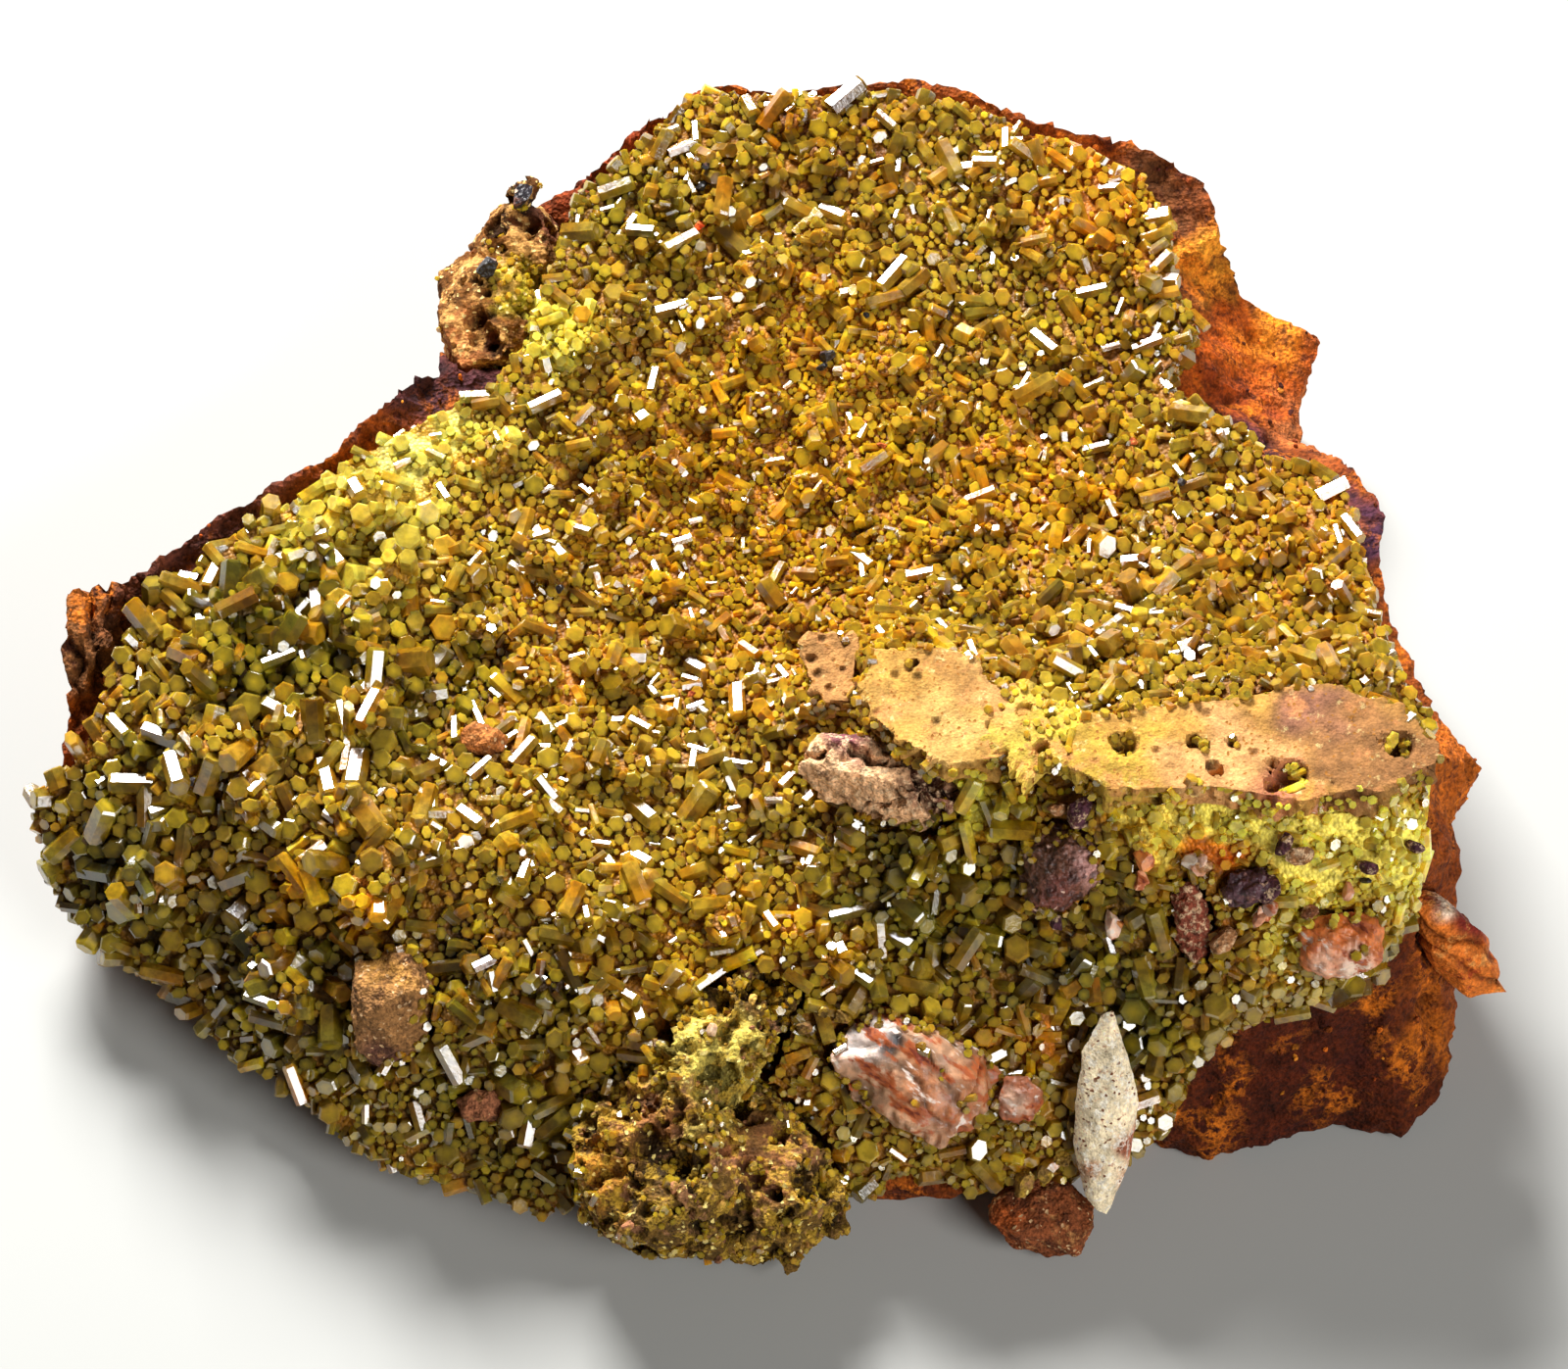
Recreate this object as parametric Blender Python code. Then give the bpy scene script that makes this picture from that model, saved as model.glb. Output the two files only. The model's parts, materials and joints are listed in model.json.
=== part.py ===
"""A hand specimen of pyromorphite: a slab of limonite whose upper face is coated with a crust of
stubby six-sided prisms. Broken bits of ochre, goethite, quartz and spongy gossan sit in the crust.

The slab lies on its flat broken underside. +X is the long side, +Y runs to the narrow end,
+Z is up. All sizes below are in millimetres, and MM turns them to metres.
"""

import math

import bmesh
import bpy
import numpy as np
from mathutils import Euler, Vector
from mathutils.bvhtree import BVHTree
from mathutils.geometry import delaunay_2d_cdt

MM = 0.001
SEED = 41

# Clearances and the crust
GAP = 0.32
POCKET_GAP = 0.5
CRUST_THICKNESS = 4.2
THIN_CRUST_SHARE = 0.5
LIP_BULGE = 1.3
EDGE_SETBACK = 0.2
CRUST_LUMPS = 0.45
STEEPEST = 2.2

# The rough outline and the spacing of the surface's points
EDGE_STEP = 4.2
EDGE_WOBBLE = 0.45
FIELD_STEP = 5.8
FIELD_MARGIN = 2.3
FIELD_JITTER = 0.22
HEART = Vector((0.0, 45.0))
UNDERCUT_LEAST = 1.2
UNDERCUT_PER_HEIGHT = 0.22
WAIST_SHARE = 0.35
WAIST_WOBBLE = 0.5
WAIST_HEIGHTS = (0.42, 0.62)

# The crystals of the crust: those on its face, and those that jut from its front lip
FACE_CRYSTALS = 158
FACE_TRIALS = 9000
LIP_CRYSTALS = 12
LIP_TRIALS = 5000
LIP_SPACING = 7.0
LIP_STEEPNESS = 0.45
LIP_LENGTH = 0.55
WIDEST_CRYSTAL = 3.9
NARROWEST_CRYSTAL = 2.3
WIDTH_SPREAD = (0.8, 1.1)
HEIGHT_SHARES = (0.4, 0.75)
HOLLOW_X = 6.0
WIDENING_RUN = 40.0
MOST_LEAN = math.radians(30)
CRYSTAL_TAPER = 0.97
LEAST_WALL = 0.35
ROOM_BETWEEN = 0.3
ROOM_AT_EDGE = 0.9
ROOM_FOR_FIELD = 0.7
FAR_OFF = 3.0
ROOT_DEPTH = 0.6

# The bare broken rock along the back and the right, from the left end round to the front: x, y, z
BARE_RIM = [
    (-55.0, 38.0, 15.0), (-54.5, 42.5, 17.0), (-55.5, 46.5, 19.0), (-55.0, 49.5, 20.0),
    (-50.5, 50.5, 20.0), (-46.0, 54.0, 20.0), (-39.0, 59.0, 20.0), (-34.5, 62.0, 20.0),
    (-30.5, 67.0, 20.0), (-27.0, 70.5, 19.0), (-26.5, 75.5, 15.0), (-24.5, 81.0, 14.0),
    (-20.5, 85.5, 16.0), (-15.5, 87.5, 20.0), (-11.5, 91.0, 21.0), (-6.0, 95.0, 22.0),
    (0.0, 94.0, 22.0), (6.0, 95.0, 22.0), (14.5, 94.0, 22.0), (19.0, 91.5, 22.0),
    (23.5, 90.5, 21.5), (29.5, 88.5, 21.0), (33.0, 87.0, 20.0), (34.0, 83.0, 18.5),
    (36.5, 80.5, 13.0), (42.5, 78.5, 10.0), (40.5, 72.5, 10.0), (40.5, 67.5, 12.0),
    (44.0, 61.0, 19.5), (46.0, 55.5, 21.5), (45.5, 51.5, 21.5), (46.5, 45.0, 21.5),
    (48.0, 40.5, 21.5), (50.5, 37.0, 20.0), (53.0, 35.0, 18.0), (50.5, 31.0, 17.0),
    (51.0, 27.5, 16.0), (50.5, 22.5, 9.0), (51.0, 19.5, 5.0), (50.5, 15.5, 3.0),
    (47.0, 12.4, 1.5), (42.0, 13.4, 2.0), (36.5, 11.6, 2.0), (32.5, 10.2, 2.0),
]

# The front rim, which the crust wraps over, from the right round to the left end
COATED_RIM = [
    (28.0, 11.0, 9.0), (25.0, 9.0, 9.0), (20.5, 7.5, 8.5), (15.5, 7.0, 7.5), (11.5, 6.0, 7.0),
    (6.0, 6.5, 7.0), (0.0, 8.5, 9.0), (-8.0, 9.0, 9.5), (-14.5, 8.0, 7.5), (-18.0, 5.5, 5.0),
    (-23.5, 8.0, 5.0), (-29.5, 9.5, 5.0), (-32.5, 12.0, 5.0), (-36.5, 15.5, 6.0),
    (-41.5, 19.0, 6.0), (-44.0, 22.5, 7.0), (-51.5, 27.0, 8.5), (-54.5, 30.5, 10.0),
    (-56.5, 35.5, 14.0),
]

# The crust's own edge inside the bare rim, in the same order
CRUST_EDGE = [
    (-52.5, 37.5, 17.5), (-51.5, 41.5, 19.0), (-49.5, 45.5, 20.0), (-47.5, 49.0, 20.5),
    (-41.5, 54.0, 21.0), (-37.5, 57.0, 21.0), (-33.0, 61.0, 21.0), (-27.5, 64.5, 21.0),
    (-22.5, 66.5, 21.5), (-19.5, 71.5, 22.0), (-17.5, 78.5, 22.0), (-16.0, 84.0, 22.0),
    (-11.5, 88.0, 22.5), (-6.0, 93.0, 23.5), (0.0, 92.0, 24.0), (6.0, 92.8, 24.0),
    (14.0, 91.5, 24.0), (19.0, 89.0, 23.5), (23.0, 88.0, 23.0), (28.0, 85.0, 22.5),
    (30.0, 80.5, 22.0), (30.0, 76.0, 22.0), (32.0, 72.5, 22.0), (29.0, 67.0, 22.0),
    (33.0, 63.5, 23.0), (37.0, 59.0, 24.0), (40.5, 58.0, 24.0), (43.0, 55.0, 25.0),
    (43.5, 49.5, 26.0), (44.5, 43.5, 27.0), (46.0, 37.5, 28.0), (48.0, 33.0, 28.5),
    (47.5, 29.0, 29.0), (47.5, 25.0, 27.0), (47.0, 21.5, 23.0), (44.5, 18.0, 19.5),
    (40.0, 16.5, 18.5), (34.0, 15.0, 17.5), (31.0, 14.0, 15.0),
]

# Spot heights of the crust's upper face: the hollow, the brow on the left, the ledge, the front slope
CRUST_SPOTS = [
    (4.0, 84.0, 22.5), (4.0, 75.0, 21.0), (4.0, 60.0, 18.0), (-7.5, 54.5, 18.0),
    (15.0, 54.0, 19.0), (33.0, 48.0, 24.0), (23.0, 67.0, 21.0), (-12.0, 76.0, 21.5),
    (-23.0, 61.0, 20.0), (-37.0, 52.0, 20.0), (-44.0, 42.0, 19.5), (-30.0, 43.0, 19.0),
    (-14.0, 44.0, 18.0), (1.0, 45.0, 19.5), (13.0, 46.0, 22.0), (25.0, 44.0, 25.5),
    (38.0, 42.0, 27.0), (-47.0, 35.5, 18.0), (-37.0, 29.0, 19.0), (-26.0, 25.0, 19.0),
    (-15.0, 25.0, 18.0), (-4.0, 25.0, 18.5), (-11.0, 18.5, 16.0), (2.0, 18.5, 17.0),
    (-5.0, 35.0, 19.0), (0.5, 38.0, 22.5), (7.0, 40.0, 27.5), (8.5, 34.0, 30.0),
    (13.5, 39.5, 27.5), (15.0, 31.5, 30.3), (3.0, 29.0, 21.5), (9.0, 26.0, 23.0),
    (9.0, 22.0, 18.5), (16.0, 24.5, 23.0), (16.0, 20.0, 18.0), (22.0, 36.5, 29.0),
    (32.0, 36.0, 30.5), (42.0, 35.5, 30.5), (24.0, 28.5, 31.0), (33.0, 28.0, 32.0),
    (44.0, 28.5, 31.8), (26.0, 22.5, 25.5), (34.0, 22.0, 27.0), (43.0, 21.5, 27.0),
    (24.0, 17.5, 18.0), (30.0, 18.0, 20.5), (38.0, 18.5, 22.5), (14.5, 14.5, 15.5),
    (22.0, 13.0, 13.5), (7.0, 12.5, 13.0), (-4.0, 13.0, 13.5), (-14.0, 13.0, 12.5),
    (-20.0, 13.5, 12.0), (-26.0, 17.0, 14.0), (-33.0, 19.5, 12.5), (-39.0, 25.0, 14.0),
    (-45.0, 29.0, 13.5),
]

# Bare rock away from the rim: the low orange rock behind the right shoulder
BARE_SPOTS = [
    (37.0, 76.0, 12.0), (36.0, 70.5, 13.5), (37.5, 65.5, 15.5), (-52.0, 45.0, 19.0),
    (-22.0, 74.5, 16.0),
]

# Flat plates of baked ochre on the ledge: outline, height of the top, thickness
PLATES = {
    "ochre_plate_left": (
        [(6.5, 37.5), (12.0, 38.0), (14.5, 37.0), (15.5, 35.0), (19.0, 34.0), (19.5, 32.0),
         (18.5, 30.5), (16.0, 28.5), (13.5, 28.0), (11.5, 28.5), (8.5, 30.0), (6.5, 32.0),
         (6.0, 34.5)],
        31.2, 2.4,
    ),
    "ochre_plate_right": (
        [(21.0, 29.5), (22.5, 31.5), (25.0, 30.8), (28.0, 32.0), (33.0, 32.5), (37.5, 33.7),
         (40.5, 34.2), (42.5, 33.0), (45.5, 32.0), (48.5, 28.7), (48.3, 27.0), (46.0, 26.0),
         (44.0, 25.0), (38.5, 24.0), (31.0, 25.0), (26.5, 25.0), (24.0, 25.0), (21.5, 26.5)],
        32.9, 2.6,
    ),
    "ochre_chip": (
        [(1.8, 41.5), (5.5, 41.0), (5.3, 38.3), (5.0, 35.6), (3.0, 35.4), (1.6, 38.8)],
        27.4, 2.6,
    ),
}
PLATE_ROUGHNESS = 0.22
PLATE_STEP = 3.4
PLATE_MARGIN = 1.3
POCKET_OPENING = 4.0
CAST_HOLES = [(36.0, 26.9, 1.0), (44.2, 29.0, 0.95), (24.6, 28.9, 0.9), (30.2, 29.0, 0.65),
              (31.9, 26.6, 0.6)]
CAST_DEPTH = 1.6

# Broken bits of rock: middle, half sizes, turns about X, Y and Z in degrees, corners, boxiness
CLASTS = {
    "brown_flake": ((7.2, 29.6, 25.6), (6.8, 2.2, 3.3), (-12, 8, -19), 26, 0.7),
    "goethite_lump": ((20.6, 23.4, 23.6), (3.4, 3.2, 3.8), (10, 20, 30), 26, 0.8),
    "quartz_clast_front": ((9.6, 11.4, 13.4), (6.6, 4.4, 2.7), (38, 6, -24), 30, 0.75),
    "quartz_clast_right": ((41.3, 17.4, 22.6), (3.6, 2.6, 2.5), (30, 0, 10), 26, 0.8),
    "quartz_chip": ((17.6, 9.6, 12.6), (2.0, 1.6, 2.3), (-20, 0, 15), 18, 0.8),
    "spindle_shard": ((23.9, 8.6, 12.2), (2.8, 2.0, 9.2), (-38, 2, 0), 30, 1.25),
    "foot_clast": ((19.4, 4.4, 3.6), (4.4, 3.0, 2.7), (0, 6, -6), 26, 0.75),
    "brown_knob": ((-29.6, 17.0, 13.4), (3.4, 3.4, 5.2), (-14, 6, 0), 28, 0.8),
    "red_sliver": ((30.4, 19.4, 21.9), (1.6, 1.7, 4.2), (-25, -12, 0), 18, 0.9),
    "goethite_chip": ((34.4, 20.6, 25.6), (2.0, 1.6, 1.7), (0, 0, 20), 16, 0.8),
    "right_shard": ((50.4, 21.4, 15.4), (2.9, 2.4, 6.2), (-24, -40, 0), 24, 1.05),
    "small_clast_left": ((-22.8, 10.9, 9.2), (2.1, 1.5, 1.5), (20, 0, 10), 16, 0.8),
    "small_clast_top": ((-22.8, 36.4, 19.8), (1.9, 1.2, 1.4), (0, 0, -10), 16, 0.8),
}

# The spongy gossan at the front and the vuggy rock at the back are heaps of lumps with holes
GOSSAN_LUMPS = [
    ((-8.8, 7.2, 7.8), (8.0, 8.4, 7.6)),
    ((-1.6, 6.0, 6.4), (6.2, 7.2, 6.2)),
    ((-5.0, 13.6, 13.0), (8.4, 4.4, 4.6)),
]
GOSSAN_PITS = 12
VUGGY_LUMPS = [
    ((-22.6, 76.6, 15.8), (5.0, 6.2, 5.6)),
    ((-20.6, 81.8, 16.4), (4.0, 4.6, 5.2)),
    ((-20.6, 85.4, 20.6), (1.4, 1.4, 1.4)),
]
VUGGY_PITS = 2
PIT_SIZES = (0.8, 1.5)
PIT_WALL = 0.35
PIT_SINK = 0.25
LUMP_CORNERS = 20
LUMP_BOXINESS = 0.7
LUMP_TURN = 25
CORNER_REACH = (0.86, 1.04)
CORNER_SCATTER = 0.12
FLOOR_CLEARANCE = 0.5

# Recesses in the crust: the shaded one below the left brow, and the dark one at the front
RECESSES = [((-41.0, 18.6, 9.5), (5.5, 2.4, 1.8)), ((10.5, 6.0, 4.6), (4.6, 3.0, 2.4))]

# sRGB colour, roughness of each node
FINISHES = {
    "limonite_matrix": ("#9A4A16", 0.9),
    "pyromorphite_crust": ("#8A7A14", 0.3),
    "ochre_plate_left": ("#B8843C", 0.85),
    "ochre_plate_right": ("#B07A48", 0.85),
    "ochre_chip": ("#946432", 0.85),
    "porous_gossan": ("#6A4E1C", 0.9),
    "vuggy_rock": ("#A87440", 0.85),
    "brown_flake": ("#7A5444", 0.8),
    "goethite_lump": ("#3A2224", 0.6),
    "quartz_clast_front": ("#C49880", 0.5),
    "quartz_clast_right": ("#B8704A", 0.6),
    "quartz_chip": ("#A87058", 0.6),
    "spindle_shard": ("#B8A080", 0.8),
    "foot_clast": ("#7C4630", 0.8),
    "brown_knob": ("#7E5A3C", 0.85),
    "red_sliver": ("#6E3422", 0.7),
    "goethite_chip": ("#3E2426", 0.6),
    "right_shard": ("#C05A20", 0.7),
    "small_clast_left": ("#84543C", 0.8),
    "small_clast_top": ("#9A5C34", 0.8),
}


def clear_scene():
    for obj in list(bpy.data.objects):
        bpy.data.objects.remove(obj, do_unlink=True)


def linear_colour(code):
    """The linear RGBA of a hex sRGB colour."""
    parts = [int(code[i:i + 2], 16) / 255 for i in (1, 3, 5)]
    return [p / 12.92 if p <= 0.04045 else ((p + 0.055) / 1.055) ** 2.4 for p in parts] + [1.0]


def finish_of(name):
    colour, roughness = FINISHES[name]
    material = bpy.data.materials.new(name)
    material.use_nodes = True
    shader = material.node_tree.nodes["Principled BSDF"]
    shader.inputs["Base Color"].default_value = linear_colour(colour)
    shader.inputs["Roughness"].default_value = roughness
    shader.inputs["Metallic"].default_value = 0.0
    return material


def object_from(name, mesh_edit):
    """A new object from a bmesh in millimetres, with its loose points dropped and faces out."""
    loose = [v for v in mesh_edit.verts if not v.link_faces]
    bmesh.ops.delete(mesh_edit, geom=loose, context="VERTS")
    bmesh.ops.triangulate(mesh_edit, faces=mesh_edit.faces[:])
    bmesh.ops.recalc_face_normals(mesh_edit, faces=mesh_edit.faces[:])
    bmesh.ops.scale(mesh_edit, vec=(MM, MM, MM), verts=mesh_edit.verts[:])
    mesh = bpy.data.meshes.new(name)
    mesh_edit.to_mesh(mesh)
    mesh_edit.free()
    obj = bpy.data.objects.new(name, mesh)
    bpy.context.scene.collection.objects.link(obj)
    return obj


def bmesh_from(points, faces):
    made = bmesh.new()
    corners = [made.verts.new(p) for p in points]
    for face in faces:
        made.faces.new([corners[i] for i in face])
    return made


def helper(obj):
    """Marks an object that only cuts or joins others."""
    obj.hide_render = True
    obj.display_type = "WIRE"
    return obj


def combine(obj, other, operation):
    """Joins or cuts obj by other for good, and keeps only its largest body."""
    modifier = obj.modifiers.new(operation.lower(), "BOOLEAN")
    modifier.operation = operation
    modifier.solver = "EXACT"
    modifier.object = other
    bpy.context.view_layer.update()
    graph = bpy.context.evaluated_depsgraph_get()
    result = bpy.data.meshes.new_from_object(obj.evaluated_get(graph))
    obj.modifiers.remove(modifier)
    obj.data = result
    keep_largest(obj)


def keep_largest(obj):
    """Drops the crumbs that a cut leaves beside the main body."""
    made = bmesh.new()
    made.from_mesh(obj.data)
    waiting = set(made.verts)
    bodies = []
    while waiting:
        edge_of_search = [waiting.pop()]
        body = set(edge_of_search)
        while edge_of_search:
            vert = edge_of_search.pop()
            for edge in vert.link_edges:
                other = edge.other_vert(vert)
                if other not in body:
                    body.add(other)
                    waiting.discard(other)
                    edge_of_search.append(other)
        bodies.append(body)
    bodies.sort(key=len)
    crumbs = [v for body in bodies[:-1] for v in body]
    bmesh.ops.delete(made, geom=crumbs, context="VERTS")
    made.to_mesh(obj.data)
    made.free()


class Relief:
    """A thin plate bent over spot heights: a smooth height for any place."""

    STIFFNESS = 2.0

    def __init__(self, spots):
        spots = np.array(spots, float)
        self.places = spots[:, :2]
        count = len(spots)
        system = np.zeros((count + 3, count + 3))
        system[:count, :count] = self.bend(self.places) + self.STIFFNESS * np.eye(count)
        system[:count, count] = 1
        system[:count, count + 1:] = self.places
        system[count:, :count] = system[:count, count:].T
        self.weights = np.linalg.solve(system, np.append(spots[:, 2], np.zeros(3)))

    def bend(self, places):
        far = np.linalg.norm(places[:, None] - self.places[None], axis=2)
        return far ** 2 * np.log(np.maximum(far, 1e-6))

    def heights(self, places):
        places = np.asarray(places, float)[:, :2]
        count = len(self.places)
        flat = self.weights[count] + places @ self.weights[count + 1:]
        return self.bend(places) @ self.weights[:count] + flat

    def steepness(self, places):
        """Length of the surface's run for one step across: 1 on the level, 2 at 60 degrees."""
        places = np.asarray(places, float)[:, :2]
        half = 0.5
        across = self.heights(places + [half, 0]) - self.heights(places - [half, 0])
        along = self.heights(places + [0, half]) - self.heights(places - [0, half])
        return np.sqrt(1 + across ** 2 + along ** 2)


def ragged(line, rng, closing_point):
    """The line with points added every few millimetres and knocked sideways a little."""
    made = []
    for start, end in zip(line, line[1:] + [closing_point]):
        start, end = np.array(start), np.array(end)
        run = end - start
        pieces = max(1, round(float(np.hypot(run[0], run[1])) / EDGE_STEP))
        side = np.array([-run[1], run[0], 0]) / max(np.hypot(run[0], run[1]), 1e-6)
        made.append(start)
        for i in range(1, pieces):
            made.append(start + run * i / pieces + side * rng.uniform(-1, 1) * EDGE_WOBBLE)
    return np.array(made)


def inside(places, loop):
    """Which places lie inside the closed loop."""
    within = np.zeros(len(places), bool)
    x, y = places[:, 0], places[:, 1]
    for (ax, ay), (bx, by) in zip(loop, np.roll(loop, -1, axis=0)):
        crosses = (ay > y) != (by > y)
        rise = by - ay if by != ay else 1e-9
        within ^= crosses & (x < ax + (y - ay) * (bx - ax) / rise)
    return within


def field_points(loop, step, margin, rng):
    """Jittered points on a staggered grid inside the loop, clear of its edge."""
    low, high = loop.min(axis=0), loop.max(axis=0)
    rows = np.arange(low[1], high[1], step * math.sqrt(3) / 2)
    points = []
    for number, y in enumerate(rows):
        for x in np.arange(low[0] + (number % 2) * step / 2, high[0], step):
            points.append((x, y))
    points = np.array(points) + rng.uniform(-1, 1, (len(points), 2)) * FIELD_JITTER * step
    points = points[inside(points, loop)]
    dense = np.concatenate([loop + (np.roll(loop, -1, axis=0) - loop) * t for t in (0, 0.5)])
    far = np.linalg.norm(points[:, None] - dense[None], axis=2).min(axis=1)
    return points[far > margin]


def closed_chain(ids):
    return list(zip(ids, list(ids[1:]) + [ids[0]]))


def triangulated(points, loop, edges=()):
    """Triangles over the points inside the loop, with the given edges among theirs."""
    flat = [Vector((float(p[0]), float(p[1]))) for p in points]
    made = delaunay_2d_cdt(flat, closed_chain(loop) + list(edges), [], 0, 1e-5, True)
    back = [origins[0] for origins in made[3]]
    found = np.array([[back[i] for i in face] for face in made[2]])
    found = found[inside(points[found].mean(axis=1), points[list(loop)])]
    triangles = []
    for a, b, c in found.tolist():
        p, q, r = points[a], points[b], points[c]
        turn = (q[0] - p[0]) * (r[1] - p[1]) - (q[1] - p[1]) * (r[0] - p[0])
        triangles.append((a, b, c) if turn > 0 else (a, c, b))
    return triangles


def wall(upper, lower):
    """Quads between two loops that run the same way round, anticlockwise from above."""
    count = len(upper)
    return [(upper[i], lower[i], lower[(i + 1) % count], upper[(i + 1) % count])
            for i in range(count)]


def slab(name, top, top_faces, loop, rings):
    """A closed slab: its top faces, walls down through the rings, and a flat underside."""
    points = [tuple(p) for p in top]
    faces = list(top_faces)
    upper = list(loop)
    for ring in rings:
        lower = list(range(len(points), len(points) + len(ring)))
        points += [tuple(p) for p in ring]
        faces += wall(upper, lower)
        upper = lower
    faces.append(tuple(reversed(upper)))
    return object_from(name, bmesh_from(points, faces))


def pulled_in(ring, amounts):
    """The ring's points drawn towards the middle of the slab."""
    out = ring[:, :2] - np.array(HEART)
    far = np.linalg.norm(out, axis=1, keepdims=True)
    moved = ring.copy()
    moved[:, :2] -= out / far * np.asarray(amounts)[:, None]
    return moved


def outward_of(loop_points):
    """Unit vectors that point out of an anticlockwise loop, one for each point."""
    run = np.roll(loop_points, -1, axis=0)[:, :2] - np.roll(loop_points, 1, axis=0)[:, :2]
    out = np.stack([run[:, 1], -run[:, 0]], axis=1)
    return out / np.linalg.norm(out, axis=1, keepdims=True)


class Ground:
    """The face that the slab and its crust share: places, loops, heights and triangles."""

    def __init__(self, rng):
        bare = ragged(BARE_RIM, rng, COATED_RIM[0])
        coated = ragged(COATED_RIM, rng, COATED_RIM[-1])
        edge = ragged(CRUST_EDGE, rng, COATED_RIM[0])
        self.crust_outline = np.vstack([edge, coated])[:, :2]
        field = field_points(self.crust_outline, FIELD_STEP, FIELD_MARGIN, rng)
        spare = np.array(BARE_SPOTS)
        self.relief = Relief(CRUST_SPOTS + CRUST_EDGE + COATED_RIM)
        self.places = np.vstack([bare[:, :2], coated[:, :2], edge[:, :2], field, spare[:, :2]])

        first_coated = len(bare)
        first_edge = first_coated + len(coated)
        first_field = first_edge + len(edge)
        first_spare = first_field + len(field)
        coated_ids = list(range(first_coated, first_edge))
        edge_ids = list(range(first_edge, first_field))
        chain = [coated_ids[-1]] + edge_ids + [coated_ids[0]]
        # Both lists run clockwise from above, and the walls go round them the other way
        self.slab_loop = (list(range(first_coated)) + coated_ids)[::-1]
        self.crust_loop = (edge_ids + coated_ids)[::-1]
        self.on_front = np.array([i < first_edge for i in self.crust_loop])
        self.triangles = triangulated(self.places, self.slab_loop, list(zip(chain, chain[1:])))
        middles = np.array([self.places[list(t)].mean(axis=0) for t in self.triangles])
        over = inside(middles, self.places[self.crust_loop])
        self.crust_triangles = [t for t, covered in zip(self.triangles, over) if covered]

        self.crust_heights = self.relief.heights(self.places)
        thickness = np.minimum(CRUST_THICKNESS, THIN_CRUST_SHARE * self.crust_heights)
        self.slab_heights = self.crust_heights - thickness
        self.slab_heights[:first_coated] = bare[:, 2]
        self.slab_heights[first_spare:] = spare[:, 2]


def build_slab(ground, rng):
    """The limonite slab: a face, rough walls that draw in downwards, and a flat underside."""
    top = np.column_stack([ground.places, ground.slab_heights])
    rim = top[ground.slab_loop]
    undercut = UNDERCUT_LEAST + UNDERCUT_PER_HEIGHT * rim[:, 2]
    waist = pulled_in(rim, undercut * WAIST_SHARE + rng.uniform(-1, 1, len(rim)) * WAIST_WOBBLE)
    waist[:, 2] = rim[:, 2] * rng.uniform(*WAIST_HEIGHTS, len(rim))
    foot = pulled_in(rim, undercut)
    foot[:, 2] = 0.0
    return slab("limonite_matrix", top, ground.triangles, ground.slab_loop, [waist, foot])


def build_crust(ground, prisms, rng):
    """The crust: prisms that stand out of one rough face, over a gap along the slab."""
    outline = ground.crust_outline
    feet = np.array([foot for foot, _ in prisms])
    centres = feet.mean(axis=1)[:, :2]
    spread = np.linalg.norm(feet[:, :, :2] - centres[:, None], axis=2).max(axis=1)
    field = field_points(outline, FIELD_STEP, FIELD_MARGIN, rng)
    room = np.linalg.norm(field[:, None] - centres[None], axis=2) - spread[None]
    field = field[room.min(axis=1) > ROOM_FOR_FIELD]

    loop = list(range(len(ground.crust_loop)))
    rim = ground.places[ground.crust_loop]
    first_foot = len(rim) + len(field)
    places = np.vstack([rim, field, feet.reshape(-1, 3)[:, :2]])
    heights = ground.relief.heights(places)
    heights[:first_foot] += rng.uniform(-1, 1, first_foot) * CRUST_LUMPS
    heights[first_foot:] = feet.reshape(-1, 3)[:, 2]
    face = np.column_stack([places, heights])
    rings = [list(range(first_foot + 6 * i, first_foot + 6 * i + 6)) for i in range(len(prisms))]
    triangles = triangulated(places, loop, [e for ring in rings for e in closed_chain(ring)])
    filled = {tuple(ring) for ring in rings}
    ring_of = {corner: ring for ring in filled for corner in ring}
    faces = [t for t in triangles if not all(ring_of.get(t[0]) == ring_of.get(c, 0) for c in t)]
    for ring, (_, ends) in zip(rings, prisms):
        cap = list(range(len(face), len(face) + 6))
        face = np.vstack([face, ends])
        faces += wall(cap, ring) + [tuple(cap)]

    opening = GAP * np.minimum(ground.relief.steepness(ground.places), STEEPEST)
    under = np.column_stack([ground.places, ground.slab_heights + opening])
    under_loop = ground.crust_loop
    ring = (face[loop] + under[under_loop]) / 2
    push = np.where(ground.on_front, LIP_BULGE, -EDGE_SETBACK)
    ring[:, :2] += outward_of(ring) * push[:, None]
    return joined_slab("pyromorphite_crust", face, faces, loop, ring, under, under_loop,
                       ground.crust_triangles)


def joined_slab(name, face, faces, loop, ring, under, under_loop, under_faces):
    """A slab whose face and underside have different points, joined through one ring."""
    points = [tuple(p) for p in np.vstack([face, ring, under])]
    middle = [len(face) + i for i in range(len(ring))]
    first = len(face) + len(ring)
    faces = faces + wall(loop, middle) + wall(middle, [first + i for i in under_loop])
    faces += [(first + c, first + b, first + a) for a, b, c in under_faces]
    return object_from(name, bmesh_from(points, faces))


def sphere_directions(count, rng):
    """Directions spread evenly over a ball, each knocked aside a little."""
    turn = math.pi * (3 - math.sqrt(5))
    ways = []
    for i in range(count):
        z = 1 - 2 * (i + 0.5) / count
        flat = math.sqrt(1 - z * z)
        ways.append((flat * math.cos(turn * i), flat * math.sin(turn * i), z))
    ways = np.array(ways) + rng.normal(0, CORNER_SCATTER, (count, 3))
    return ways / np.linalg.norm(ways, axis=1, keepdims=True)


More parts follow.
